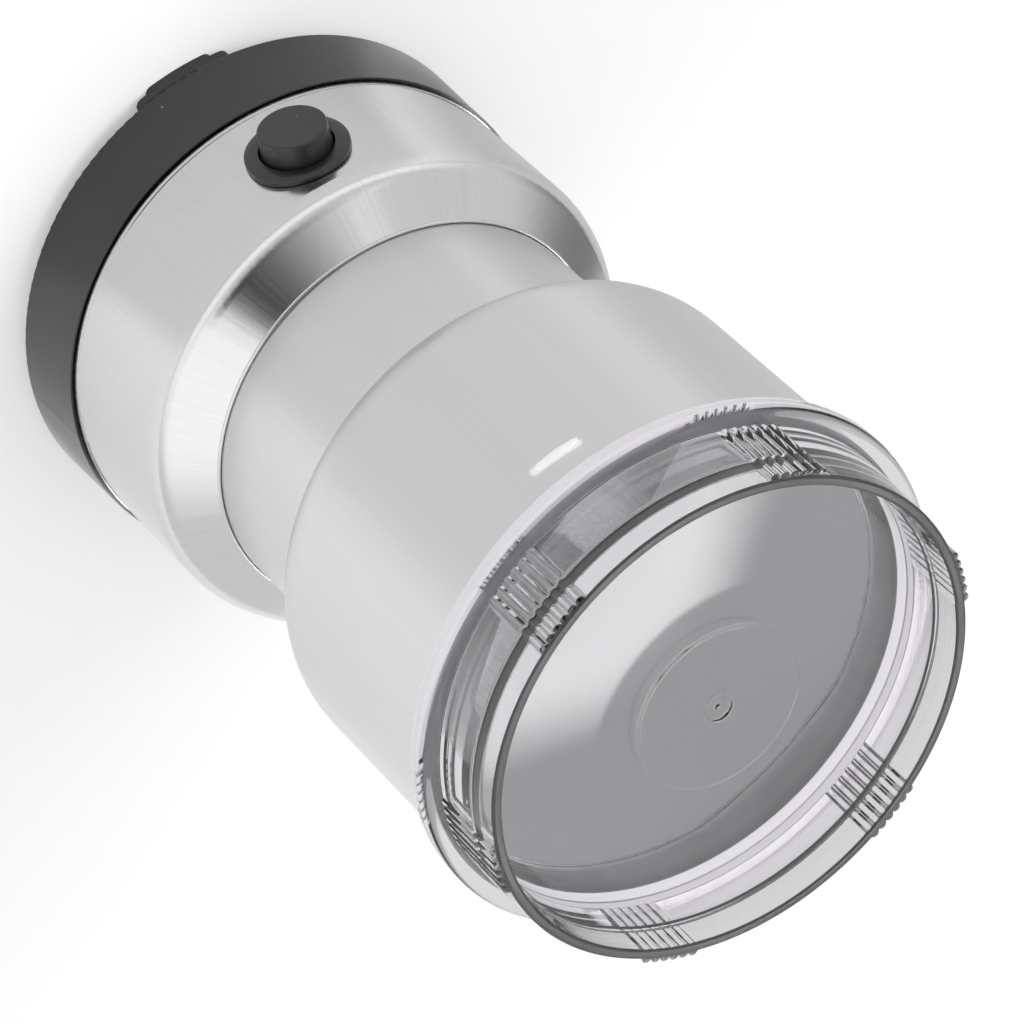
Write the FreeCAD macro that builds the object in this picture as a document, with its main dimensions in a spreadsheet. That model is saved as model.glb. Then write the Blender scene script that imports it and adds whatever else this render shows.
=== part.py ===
import FreeCAD, Part
import math
import os

import Sketcher

# Electric spice grinder, upright on its feet, in millimetres with +Z up.
# Every sub-part is built round the grinder's own axis. The shared placement then sets that axis
# back a little, so that the row's origin is the middle of the outline box at table level: the
# push button stands out further in front than the lid does behind.
# The button faces -Y. Angles are counted from +X, anticlockwise from above.

# Driving sizes. Lengths in millimetres, angles in degrees.
SIZES = {
    # black moulded base and its rubber feet
    "foot_height": 2.0,
    "foot_width": 4.0,
    "foot_angle": 23.8,
    "foot_count": 3,
    "foot_turn": -84.5,
    "tread_height": 1.2,
    "tread_angle": 17.0,
    "foot_inset": 0.3,
    "foot_end_round": 1.6,
    "peg_radius": 1.5,
    "base_ledge": 0.75,
    "base_draft": 0.55,
    "base_height": 17.7,
    "base_floor": 2.4,
    "base_edge_round": 0.6,
    "groove_depth": 0.6,
    "groove_gap": 0.3,
    "spigot_height": 3.2,
    "spigot_wall": 1.8,
    "vent_count": 12,
    "vent_start": 8.0,
    "vent_length": 15.0,
    "vent_width": 2.4,
    "well_wall": 1.4,
    "well_height": 10.0,
    "well_depth": 8.6,
    "inlet_radius": 3.6,
    "inlet_wall": 2.6,
    "inlet_length": 7.0,
    "inlet_recess": 1.0,
    "inlet_boss_overlap": 1.0,
    "inlet_recess_radius": 7.0,
    "inlet_height": 9.0,
    # brushed steel lower shell
    "shell_radius": 49.25,
    "shell_sheet": 0.8,
    "shell_height": 38.5,
    "shoulder_drop": 6.9,
    "shoulder_round": 6.0,
    "hem_height": 1.5,
    "hem_step": 0.12,
    "lip_drop": 1.2,
    "lip_width": 1.9,
    # satin steel upper shell: waist and cup
    "waist_inset": 9.6,
    "waist_height": 32.0,
    "waist_fillet": 2.0,
    "cup_step": 0.15,
    "cup_sheet": 1.0,
    "cup_round": 11.8,
    "cup_height": 56.6,
    "mark_angle": -79.7,
    "mark_below_rim": 7.8,
    "mark_half_length": 4.5,
    "mark_half_height": 1.1,
    "mark_depth": 0.5,
    # grinding bowl and what clamps it
    "bowl_inset": 2.4,
    "bowl_sheet": 0.8,
    "bowl_round": 16.0,
    "bowl_lift": 4.3,
    "bush_radius": 7.7,
    "bush_flange_radius": 11.0,
    "bush_flange": 2.5,
    "bush_flange_edge": 1.1,
    "bush_bore": 3.6,
    "bush_land": 2.0,
    "bush_thread_end": 1.0,
    "seal_radius": 6.2,
    "seal_height": 2.0,
    "bowl_nut_flats": 22.0,
    "bowl_nut_height": 3.0,
    # clear lid
    "lid_height": 20.0,
    "flange_width": 3.7,
    "flange_height": 3.6,
    "flange_round": 1.0,
    "lid_step": 0.8,
    "lid_draft": 0.6,
    "lid_rim_width": 1.4,
    "lid_rim_round": 0.55,
    "panel_depth": 5.4,
    "panel_thickness": 2.2,
    "recess_draft": 0.3,
    "skirt_height": 8.0,
    "skirt_wall": 1.6,
    "disc_radius": 16.6,
    "disc_depth": 0.35,
    "gate_radius": 2.75,
    "gate_depth": 0.3,
    "nub_radius": 0.7,
    "rib_radius": 0.85,
    "rib_pitch": 2.35,
    "rib_count": 6,
    "rib_group_count": 6,
    "rib_turn": 4.0,
    "rib_rise": 0.55,
    "rib_end": 0.5,
    # moulded carrier with its four posts
    "carrier_plate": 3.0,
    "carrier_skirt": 9.5,
    "carrier_skirt_wall": 2.0,
    "post_radius": 3.3,
    "post_inset": 4.7,
    "post_angle": 60.0,
    "pilot_spare": 1.0,
    "screw_radius": 1.7,
    "screw_head_radius": 3.2,
    "screw_head": 2.2,
    "screw_bite": 11.0,
    "boss_radius": 4.0,
    "boss_height": 5.5,
    "mount_height": 3.0,
    "bolt_radius": 1.95,
    "bolt_head_radius": 3.4,
    "bolt_head": 2.6,
    "bolt_bite": 4.6,
    # motor: iron, windings, brackets and bearings
    "bracket_bar": 3.0,
    "bracket_half_width": 6.0,
    "hub_wall": 2.5,
    "hub_below": 1.0,
    "hub_above": 3.0,
    "bearing_radius": 6.0,
    "bearing_length": 6.0,
    "upper_leg": 8.0,
    "lower_leg": 24.0,
    "stack_height": 22.0,
    "stack_end": 3.3,
    "stack_yoke": 6.0,
    "stack_corner": 8.0,
    "leg_gap": 0.6,
    "pole_half": 9.5,
    "window_step": 0.7,
    "window_depth": 8.7,
    "coil_gap": 0.3,
    "coil_overhang": 4.5,
    "coil_step": 1.4,
    "armature_radius": 15.5,
    "air_gap": 0.5,
    "armature_slots": 12,
    "slot_root": 8.5,
    "slot_half": 1.3,
    "slot_spare": 1.0,
    "winding_gap": 0.2,
    "winding_inset": 1.0,
    "winding_taper": 3.0,
    "winding_clear": 1.0,
    "winding_overlap": 0.5,
    "winding_overhang": 4.2,
    "commutator_radius": 11.0,
    "commutator_length": 12.0,
    "commutator_drop": 5.0,
    "commutator_slot": 0.5,
    "commutator_cut": 0.8,
    "shaft_radius": 3.0,
    "shaft_thread_radius": 2.5,
    "shaft_thread": 5.6,
    # brushes
    "brush_gap": 0.15,
    "brush_half": 3.0,
    "brush_length": 12.0,
    "holder_wall": 0.9,
    "holder_start": 14.0,
    "holder_length": 16.0,
    "arm_start": 19.0,
    "arm_width": 8.0,
    "arm_roof": 1.6,
    "brush_spring_wire": 0.45,
    "brush_spring_radius": 2.0,
    "brush_spring_turns": 5,
    "brush_cap": 1.0,
    # fan under the motor
    "fan_radius": 24.0,
    "fan_disc": 1.2,
    "fan_height": 7.0,
    "fan_hub_radius": 6.5,
    "fan_blade": 1.2,
    "fan_blade_root": 0.5,
    "fan_blade_inset": 1.0,
    "fan_blade_count": 9,
    "fan_clear": 1.8,
    # blade on its moulded hub
    "hub_gap": 0.3,
    "blade_hub_height": 3.0,
    "blade_hub_radius": 7.5,
    "blade_hub_top": 5.5,
    "blade_sheet": 1.4,
    "blade_clear": 9.7,
    "blade_flat": 9.0,
    "blade_rise": 8.0,
    "blade_drop": 2.4,
    "blade_root_half": 6.5,
    "blade_tip_half": 4.2,
    "blade_tip_round": 5.25,
    "blade_tip_length": 2.6,
    "blade_turn": 30.0,
    "blade_nut_flats": 8.0,
    "blade_nut_height": 4.0,
    "blade_nut_dome": 2.2,
    # push switch in the lower shell
    "button_height": 16.6,
    "button_rise": 5.65,
    "button_radius": 6.85,
    "button_draft": 0.35,
    "button_length": 9.5,
    "button_round": 0.4,
    "button_travel": 2.5,
    "stem_radius": 2.4,
    "bezel_radius": 9.85,
    "bezel_bore": 7.15,
    "bezel_barrel": 8.0,
    "bezel_edge": 0.65,
    "bezel_dome": 0.5,
    "bezel_crown": 5.0,
    "bezel_land": 0.5,
    "bezel_round": 0.2,
    "bezel_length": 12.0,
    "bezel_web": 1.5,
    "bezel_web_rise": 1.4,
    "switch_nut_flats": 20.5,
    "switch_nut_height": 2.6,
    "switch_half_width": 7.0,
    "switch_half_height": 7.4,
    "switch_clear": 4.25,
    "terminal_half": 2.4,
    "terminal_sheet": 0.8,
    "terminal_length": 6.5,
    "terminal_offset": 4.2,
    "spring_wire": 0.5,
    "spring_radius": 4.6,
    "spring_turns": 4,
    # clearances
    "sheet_gap": 0.15,
    "seat_gap": 0.2,
    "running_gap": 0.3,
    "shaft_gap": 0.05,
    "fit_gap": 0.02,
    "skirt_gap": 0.4,
}

# Sizes worked out from the driving ones: levels above the table, radii and reaches.
DERIVED = {
    "zero": "0",
    "axis_shift": "(button_reach - flange_radius) / 2",
    # base
    "base_top_radius": "shell_radius + base_ledge",
    "base_radius": "base_top_radius + base_draft",
    "ring_level": "tread_height + foot_height",
    "floor_level": "ring_level + base_floor",
    "seam_level": "ring_level + base_height",
    "groove_level": "seam_level - groove_depth",
    "shell_inner": "shell_radius - shell_sheet",
    "groove_radius": "shell_radius + hem_step + groove_gap",
    "spigot_radius": "shell_inner - sheet_gap",
    "base_inner": "spigot_radius - spigot_wall",
    "spigot_level": "seam_level + spigot_height",
    "foot_outer": "base_radius - foot_inset",
    "foot_inner": "foot_outer - foot_width",
    "foot_middle": "foot_outer - foot_width / 2",
    "foot_step": "360 / foot_count",
    "peg_hole": "peg_radius + fit_gap",
    "peg_length": "base_floor + fit_gap",
    "vent_half": "vent_width / 2",
    "vent_end": "vent_start + vent_length",
    "well_top_level": "floor_level + well_height",
    "well_bore": "screw_head_radius + running_gap",
    "well_radius": "well_bore + well_wall",
    "screw_hole": "screw_radius + sheet_gap",
    "well_web": "well_top_level - ring_level - well_depth",
    "post_ring_radius": "waist_radius - post_inset",
    "post_x": "post_ring_radius * cos(post_angle)",
    "post_y": "post_ring_radius * sin(post_angle)",
    "inlet_level": "ring_level + inlet_height",
    "inlet_face": "base_radius - inlet_recess",
    "inlet_inner": "inlet_face - inlet_length",
    "inlet_boss": "inlet_radius + inlet_wall",
    "inlet_boss_length": "base_inner + inlet_boss_overlap - inlet_inner",
    # lower shell
    "hem_radius": "shell_radius + hem_step",
    "hem_level": "seam_level + hem_height",
    "junction_level": "seam_level + shell_height",
    "corner_level": "junction_level - shoulder_drop",
    "cone_slope": "shoulder_drop / (shell_radius - collar_radius)",
    "cone_drop": "shell_sheet * sqrt(1 + cone_slope ^ 2)",
    "inner_corner_level": "corner_level + cone_slope * shell_sheet - cone_drop",
    "inner_shoulder_round": "shoulder_round - shell_sheet",
    "collar_radius": "waist_radius + sheet_gap",
    "lip_level": "junction_level - lip_drop",
    "lip_under": "lip_level - shell_sheet",
    "lip_radius": "waist_radius - lip_width",
    "lip_root": "shell_radius - (lip_under + cone_drop - corner_level) / cone_slope",
    # upper shell
    "cup_radius": "shell_radius - cup_step",
    "waist_radius": "cup_radius - waist_inset",
    "waist_inner": "waist_radius - cup_sheet",
    "cup_under_level": "junction_level + waist_height",
    "cup_start_level": "cup_under_level + cup_round",
    "arc_radius": "cup_radius - cup_round",
    "waist_top_level": "cup_start_level - sqrt(cup_round ^ 2 - (waist_radius - arc_radius) ^ 2)",
    "inner_round": "cup_round - cup_sheet",
    "waist_inner_top": "cup_start_level - sqrt(inner_round ^ 2 - (waist_inner - arc_radius) ^ 2)",
    "cup_inner": "cup_radius - cup_sheet",
    "rim_level": "cup_under_level + cup_height",
    "cup_top_level": "rim_level - bowl_sheet",
    "inner_waist_fillet": "waist_fillet + cup_sheet",
    # bowl
    "bowl_radius": "cup_radius - bowl_inset",
    "bowl_outer": "bowl_radius + bowl_sheet",
    "bowl_under": "cup_under_level + bowl_lift",
    "bowl_floor": "bowl_under + bowl_sheet",
    "bowl_corner_level": "bowl_under + bowl_round",
    "bowl_flat": "bowl_outer - bowl_round",
    "bowl_inner_round": "bowl_round - bowl_sheet",
    "bush_hole": "bush_radius + sheet_gap",
    "bush_top": "bowl_floor + bush_flange",
    "bush_edge_level": "bowl_floor + bush_flange_edge",
    "bush_shoulder": "seal_radius + bush_land",
    "seal_floor": "bush_top - seal_height - sheet_gap",
    "plate_under": "bowl_under - carrier_plate",
    "nut_under": "plate_under - bowl_nut_height",
    "bush_end": "nut_under - bush_thread_end",
    "seal_bore": "shaft_radius + shaft_gap",
    # lid
    "lid_seat": "rim_level + seat_gap",
    "lid_top": "lid_seat + lid_height",
    "lid_foot_radius": "cup_radius - lid_step",
    "lid_rim_radius": "lid_foot_radius - lid_draft",
    "flange_radius": "lid_foot_radius + flange_width",
    "flange_top": "lid_seat + flange_height",
    "skirt_bottom": "lid_seat - skirt_height",
    "skirt_outer": "bowl_radius - skirt_gap",
    "skirt_inner": "skirt_outer - skirt_wall",
    "recess_radius": "lid_rim_radius - lid_rim_width",
    "recess_floor_radius": "recess_radius - recess_draft",
    "panel_level": "lid_top - panel_depth",
    "panel_under": "panel_level - panel_thickness",
    "lid_inner": "lid_foot_radius - lid_rim_width - recess_draft * 2",
    "disc_level": "panel_level - disc_depth",
    "gate_level": "disc_level - gate_depth",
    "rib_ring": "lid_foot_radius + rib_rise - rib_radius",
    "rib_length": "lid_height - flange_height - rib_end",
    "rib_first": "rib_turn - rib_pitch * (rib_count - 1) / 2",
    # carrier
    "carrier_radius": "waist_inner - running_gap",
    "carrier_skirt_inner": "carrier_radius - carrier_skirt_wall",
    "carrier_skirt_level": "plate_under - carrier_skirt",
    "post_length": "plate_under - well_top_level",
    "pilot_radius": "screw_radius + fit_gap",
    "pilot_depth": "screw_bite + pilot_spare",
    "bolt_pilot": "bolt_radius + fit_gap",
    "boss_level": "plate_under - boss_height",
    "head_level": "ring_level + well_depth - screw_head",
    "screw_length": "screw_head + well_web + screw_bite",
    # motor
    "bracket_top": "boss_level - mount_height",
    "bracket_under": "bracket_top - bracket_bar",
    "upper_hub_top": "bracket_top + hub_above",
    "upper_hub_under": "bracket_under - hub_below",
    "upper_hub_height": "upper_hub_top - upper_hub_under",
    "stack_top": "bracket_under - upper_leg",
    "stack_under": "stack_top - stack_height",
    "spider_top": "stack_under - lower_leg",
    "spider_under": "spider_top - bracket_bar",
    "lower_hub_top": "spider_top + hub_below",
    "lower_hub_under": "spider_under - hub_above",
    "lower_hub_height": "lower_hub_top - lower_hub_under",
    "hub_bore": "bearing_radius + fit_gap",
    "hub_radius": "bearing_radius + hub_wall",
    "bearing_bore": "shaft_radius + shaft_gap",
    "upper_bearing_level": "(upper_hub_top + upper_hub_under - bearing_length) / 2",
    "lower_bearing_level": "(lower_hub_top + lower_hub_under - bearing_length) / 2",
    "stack_bore": "armature_radius + air_gap",
    "stack_half_width": "stack_bore + stack_yoke",
    "window_half": "stack_bore - window_step",
    "window_reach": "stack_bore + window_depth",
    "stack_half_length": "window_reach + stack_end",
    "leg_inner": "stack_bore + leg_gap",
    "bolt_y": "(leg_inner + stack_half_width) / 2",
    "bolt_hole": "bolt_radius + sheet_gap",
    "bolt_head_level": "spider_under - bolt_head",
    "bolt_length": "boss_level + bolt_bite - spider_under",
    "pole_face": "sqrt(stack_bore ^ 2 - pole_half ^ 2)",
    "crown_half": "sqrt(stack_bore ^ 2 - window_half ^ 2)",
    "coil_start": "stack_bore + coil_step",
    "coil_end": "window_reach - coil_gap",
    "coil_depth": "coil_end - coil_start",
    "coil_inner_half": "pole_half + coil_gap",
    "coil_outer_half": "window_half - coil_gap",
    "coil_top_inner": "stack_top + coil_gap",
    "coil_under_inner": "stack_under - coil_gap",
    "coil_top": "coil_top_inner + coil_overhang",
    "coil_under": "coil_under_inner - coil_overhang",
    "shaft_fit": "shaft_radius + fit_gap",
    "slot_open": "armature_radius + slot_spare",
    "winding_radius": "armature_radius - winding_inset",
    "winding_bar_end": "winding_radius - winding_overlap",
    "winding_run": "winding_top_inner - winding_under_inner + winding_gap",
    "pole_count": "2",
    "upright_length": "arm_top - spider_top",
    "lower_bore_length": "stack_height + lower_leg",
    "arm_hole_low": "brush_level - arm_hole",
    "arm_hole_high": "brush_level + arm_hole",
    "arm_span": "arm_end * 2",
    "holder_low": "brush_level - holder_half",
    "holder_high": "brush_level + holder_half",
    "holder_bore_low": "brush_level - holder_bore",
    "holder_bore_high": "brush_level + holder_bore",
    "holder_bore_span": "brush_cap_start * 2",
    "brush_low": "brush_level - brush_half",
    "brush_high": "brush_level + brush_half",
    "fan_blade_start": "fan_hub_radius - fan_blade_root",
    "blade_block_height": "blade_rise + blade_drop + blade_sheet",
    "winding_root": "slot_root + winding_gap",
    "winding_half": "slot_half - winding_gap",
    "winding_top_inner": "stack_top + winding_gap",
    "winding_under_inner": "stack_under - winding_gap",
    "winding_top": "winding_top_inner + winding_overhang",
    "winding_under": "winding_under_inner - winding_overhang",
    "winding_bore": "shaft_radius + winding_clear",
    "winding_crown": "winding_radius - winding_taper",
    "commutator_top": "stack_under - commutator_drop",
    "commutator_under": "commutator_top - commutator_length",
    "commutator_slot_root": "commutator_radius - commutator_cut",
    "commutator_slot_half": "commutator_slot / 2",
    # brushes
    "brush_level": "commutator_top - commutator_length / 2",
    "brush_start": "commutator_radius + brush_gap",
    "holder_bore": "brush_half + sheet_gap",
    "holder_half": "holder_bore + holder_wall",
    "arm_hole": "holder_half + fit_gap",
    "arm_end": "arm_start + arm_width",
    "arm_top": "brush_level + arm_hole + arm_roof",
    "brush_end": "brush_start + brush_length",
    "holder_end": "holder_start + holder_length",
    "brush_cap_start": "holder_end - brush_cap",
    # fan
    "fan_top": "lower_hub_under - fan_clear",
    "fan_disc_under": "fan_top - fan_disc",
    "fan_under": "fan_top - fan_height",
    "fan_blade_half": "fan_blade / 2",
    "fan_blade_height": "fan_height - fan_disc",
    "fan_blade_end": "fan_radius - fan_blade_inset",
    # blade
    "blade_reach": "bowl_radius - blade_clear",
    "hub_under": "bush_top + hub_gap",
    "hub_top": "hub_under + blade_hub_height",
    "blade_top": "hub_top + blade_sheet",
    "blade_rise_level": "hub_top + blade_rise",
    "blade_rise_top": "blade_rise_level + blade_sheet",
    "blade_drop_level": "hub_top - blade_drop",
    "blade_drop_top": "blade_drop_level + blade_sheet",
    "blade_width": "blade_root_half * 2",
    "blade_tip_start": "blade_reach - blade_tip_length",
    "blade_hole": "shaft_thread_radius + fit_gap",
    "shaft_end": "blade_top + shaft_thread",
    "nut_bore_depth": "shaft_thread + sheet_gap",
    "blade_nut_top": "blade_top + blade_nut_height",
    # switch, measured outward from the grinder's axis
    "button_level": "seam_level + button_height",
    "button_reach": "shell_radius + button_rise",
    "button_face_radius": "button_radius - button_draft",
    "cap_under": "button_reach - button_length",
    "switch_hole": "bezel_barrel + sheet_gap",
    "bezel_seat": "shell_radius + sheet_gap",
    "bezel_edge_level": "shell_radius + bezel_edge",
    "bezel_face": "bezel_edge_level + bezel_dome",
    "bezel_land_radius": "bezel_bore + bezel_land",
    "bezel_end": "shell_radius - bezel_length",
    "web_under": "bezel_end + bezel_web_rise",
    "web_top": "web_under + bezel_web",
    "web_hole": "stem_radius + running_gap",
    "stem_end": "switch_front + button_travel + running_gap",
    "switch_front": "bezel_end",
    "switch_back": "stack_half_width + switch_clear",
    "switch_depth": "switch_front - switch_back",
    "nut_back": "nut_front - switch_nut_height",
    "nut_front": "sqrt(shell_inner ^ 2 - (switch_nut_flats / sqrt(3)) ^ 2) - sheet_gap",
    "spring_foot": "web_top + spring_wire / 2 + fit_gap",
    "spring_head": "cap_under - spring_wire / 2 - fit_gap",
    "terminal_middle": "(switch_front + switch_back) / 2",
}

# How near two points or two circles must lie to be taken as the same.
SAME_POINT = 1e-6
SAME_CIRCLE = 1e-4

document = FreeCAD.newDocument("spice_grinder")
sheet = document.addObject("Spreadsheet::Sheet", "sizes")
sub_parts = []


def fill_sheet():
    """Write the driving sizes as plain numbers and the derived ones as formulas."""
    rows = [(name, str(value)) for name, value in SIZES.items()]
    rows += [(name, "=" + formula) for name, formula in DERIVED.items()]
    for row, (name, _) in enumerate(rows, start=1):
        sheet.set(f"A{row}", name)
        sheet.setAlias(f"B{row}", name)
    for row, (_, text) in enumerate(rows, start=1):
        sheet.set(f"B{row}", text)
    document.recompute()


def size(name):
    """The number in a named cell. A leading minus sign gives its negative."""
    if name.startswith("-"):
        return -float(sheet.get(name[1:]))
    return float(sheet.get(name))


def cell(name):
    """The expression for a named cell, with its sign."""
    return f"-sizes.{name[1:]}" if name.startswith("-") else f"sizes.{name}"


def set_axis(thing, turn="zero"):
    """Move a finished sub-part onto the grinder's axis, turned about that axis."""
    thing.Placement = FreeCAD.Placement(
        FreeCAD.Vector(0, size("axis_shift"), 0),
        FreeCAD.Rotation(FreeCAD.Vector(0, 0, 1), size(turn)),
    )
    thing.setExpression("Placement.Base.y", cell("axis_shift"))
    if turn != "zero":
        thing.setExpression("Placement.Rotation.Angle", cell(turn))


def face_front(thing):
    """Lay a sub-part that was built along Z on the button's axis, pointing outward at the front."""
    thing.Placement = FreeCAD.Placement(
        FreeCAD.Vector(0, size("axis_shift"), size("button_level")),
        FreeCAD.Rotation(FreeCAD.Vector(1, 0, 0), 90),
    )
    thing.setExpression("Placement.Base.y", cell("axis_shift"))
    thing.setExpression("Placement.Base.z", cell("button_level"))


def keep(thing, label):
    """Name a finished sub-part. Its label is its node's name."""
    thing.Label = label
    sub_parts.append(thing)
    return thing


def new_body(label):
    """A body for one sub-part."""
    body = document.addObject("PartDesign::Body", f"{label}_body")
    document.recompute()
    return body


def origin_part(body, role):
    """One of the body's own origin planes or axes."""
    return next(part for part in body.Origin.OriginFeatures if part.Role == role)


def new_sketch(body, name, role="XZ_Plane", offset=None):
    """A sketch on one of the body's origin planes, moved along its normal by a named size."""
    sketch = body.newObject("Sketcher::SketchObject", name)
    sketch.AttachmentSupport = [(origin_part(body, role), "")]
    sketch.MapMode = "FlatFace"
    if offset:
        sketch.AttachmentOffset = FreeCAD.Placement(FreeCAD.Vector(0, 0, size(offset)), FreeCAD.Rotation())
        sketch.setExpression("AttachmentOffset.Base.z", cell(offset))
    return sketch


def arc_between(start, end, radius, side):
    """The short arc from start to end. Side 1 has its centre on the left, -1 on the right."""
    middle = (start + end) * 0.5
    chord = end - start
    half = chord.Length / 2
    normal = FreeCAD.Vector(-chord.y, chord.x, 0).normalize()
    centre = middle + normal * (side * math.sqrt(max(radius**2 - half**2, 0)))
    crown = centre + normal * (-side * radius)
    return Part.Arc(start, crown, end)


def locate(sketch, curve, point, across, up):
    """Tie a point of a curve to the sketch's origin by two named sizes."""
    for kind, name in (("DistanceX", across), ("DistanceY", up)):
        index = sketch.addConstraint(Sketcher.Constraint(kind, -1, 1, curve, point, size(name)))
        sketch.setExpression(f"Constraints[{index}]", cell(name))


def outline(sketch, points):
    """A closed outline. A point is (across, up), or (across, up, radius, side) before an arc."""
    places = [FreeCAD.Vector(size(point[0]), size(point[1]), 0) for point in points]
    curves = []
    for index, point in enumerate(points):
        start, end = places[index], places[(index + 1) % len(points)]
        if len(point) == 4:
            curve = arc_between(start, end, size(point[2]), point[3])
        else:
            curve = Part.LineSegment(start, end)
        curves.append(sketch.addGeometry(curve, False))
    # An arc that runs clockwise is stored the other way round, so its ends are looked up.
    ends = []
    for index, curve in enumerate(curves):
        start_first = (sketch.getPoint(curve, 1) - places[index]).Length < SAME_POINT
        ends.append((1, 2) if start_first else (2, 1))
    for index, curve in enumerate(curves):
        after = (index + 1) % len(points)
        sketch.addConstraint(
            Sketcher.Constraint("Coincident", curve, ends[index][1], curves[after], ends[after][0])
        )
        locate(sketch, curve, ends[index][0], points[index][0], points[index][1])
        if len(points[index]) == 4:
            name = points[index][2]
            number = sketch.addConstraint(Sketcher.Constraint("Radius", curve, size(name)))
            sketch.setExpression(f"Constraints[{number}]", cell(name))


def circle(sketch, across, up, radius):
    """A full circle at a named place."""
    centre = FreeCAD.Vector(size(across), size(up), 0)
    curve = sketch.addGeometry(Part.Circle(centre, FreeCAD.Vector(0, 0, 1), size(radius)), False)
    locate(sketch, curve, 3, across, up)
    number = sketch.addConstraint(Sketcher.Constraint("Radius", curve, size(radius)))
    sketch.setExpression(f"Constraints[{number}]", cell(radius))


def turned_circle(sketch, first, step, count, ring, radius):
    """A circle on a ring round the origin, a number of steps past the first angle."""
    turn = math.radians(size(first) + count * size(step))
    centre = FreeCAD.Vector(size(ring) * math.cos(turn), size(ring) * math.sin(turn), 0)
    curve = sketch.addGeometry(Part.Circle(centre, FreeCAD.Vector(0, 0, 1), size(radius)), False)
    angle = f"{cell(first)} + {count} * {cell(step)}"
    for kind, function, place in (("DistanceX", "cos", centre.x), ("DistanceY", "sin", centre.y)):
        index = sketch.addConstraint(Sketcher.Constraint(kind, -1, 1, curve, 3, place))
        sketch.setExpression(f"Constraints[{index}]", f"{cell(ring)} * {function}({angle})")
    index = sketch.addConstraint(Sketcher.Constraint("Radius", curve, size(radius)))
    sketch.setExpression(f"Constraints[{index}]", cell(radius))


def four_circles(sketch, across, up, radius):
    """The same circle in each quarter of the plan."""
    for side in ("", "-"):
        for end in ("", "-"):
            circle(sketch, side + across, end + up, radius)


def rectangle(sketch, left, low, right, high):
    """A closed rectangle between named sides."""
    outline(sketch, [(left, low), (right, low), (right, high), (left, high)])


def revolve(body, name, points):
    """Spin a closed outline, drawn as radius and height, round the body's Z axis."""
    sketch = new_sketch(body, f"{name}_outline")
    outline(sketch, points)
    turned = body.newObject("PartDesign::Revolution", name)
    turned.Profile = sketch
    turned.ReferenceAxis = (sketch, ["V_Axis"])
    turned.Angle = 360
    document.recompute()
    return turned


def extrude(body, kind, name, sketch, length, backward=False, centred=False):
    """A Pad or a Pocket of a named length."""
    feature = body.newObject(f"PartDesign::{kind}", name)
    feature.Profile = sketch
    feature.setExpression("Length", cell(length))
    feature.Reversed = backward
    if centred:
        feature.Midplane = True
    document.recompute()
    return feature


def pad(body, name, sketch, length, **options):
    """Add material along the sketch's normal."""
    return extrude(body, "Pad", name, sketch, length, **options)


def pocket(body, name, sketch, length, **options):
    """Cut material against the sketch's normal, and make sure that it did cut."""
    before = body.Shape.Volume
    feature = extrude(body, "Pocket", name, sketch, length, **options)
    if not body.Shape.Volume < before:
        raise RuntimeError(f"{name} cuts nothing")
    return feature


def ring_of(body, name, feature, count):
    """Repeat a feature evenly round the Z axis."""
    pattern = body.newObject("PartDesign::PolarPattern", name)
    pattern.Originals = [feature]
    pattern.Axis = (origin_part(body, "Z_Axis"), [""])
    pattern.Angle = 360
    pattern.setExpression("Occurrences", cell(count))
    body.Tip = pattern
    document.recompute()
    return pattern


def hoop(edge, radius, level):
    """Whether an edge is a full circle round Z of this radius at this level."""
    curve = edge.Curve
    if not isinstance(curve, Part.Circle) or not edge.isClosed():
        return False
    off = max(abs(curve.Radius - size(radius)), abs(curve.Center.z - size(level)))
    return off < SAME_CIRCLE


def soften(body, name, radius, chosen, kind="Fillet"):
    """Round or chamfer the chosen edges of the body as it stands."""
    base = body.Tip
    edges = [f"Edge{i}" for i, edge in enumerate(base.Shape.Edges, start=1) if chosen(edge)]
    if not edges:
        raise RuntimeError(f"{name} finds no edge")
    feature = body.newObject(f"PartDesign::{kind}", name)
    feature.Base = (base, edges)
    feature.setExpression("Radius" if kind == "Fillet" else "Size", cell(radius))
    body.Tip = feature
    document.recompute()
    return feature


def tube(name, inner, outer, level, height):
    """A plain round sleeve as the cut of two cylinders."""
    solids = []
    for part, radius in (("outer", outer), ("inner", inner)):
        cylinder = document.addObject("Part::Cylinder", f"{name}_{part}")
        cylinder.setExpression("Radius", cell(radius))
        cylinder.setExpression("Height", cell(height))
        cylinder.setExpression("Placement.Base.z", cell(level))
        solids.append(cylinder)
    sleeve = document.addObject("Part::Cut", name)
    sleeve.Base, sleeve.Tool = solids
    document.recompute()
    return sleeve


def hexagon(name, flats, level, height, bore):
    """A plain six-sided nut with a round bore."""
    prism = document.addObject("Part::Prism", f"{name}_prism")
    prism.Polygon = 6
    prism.setExpression("Circumradius", f"sizes.{flats} / sqrt(3)")
    prism.setExpression("Height", cell(height))
    prism.setExpression("Placement.Base.z", cell(level))
    hole = document.addObject("Part::Cylinder", f"{name}_hole")
    hole.setExpression("Radius", cell(bore))
    hole.setExpression("Height", cell(height))
    hole.setExpression("Placement.Base.z", cell(level))
    nut = document.addObject("Part::Cut", name)
    nut.Base, nut.Tool = prism, hole
    document.recompute()
    return nut


def group(label, members):
    """Separate solids that share one node."""
    compound = document.addObject("Part::Compound", f"{label}_group")
    compound.Links = members
    document.recompute()
    return compound


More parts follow.
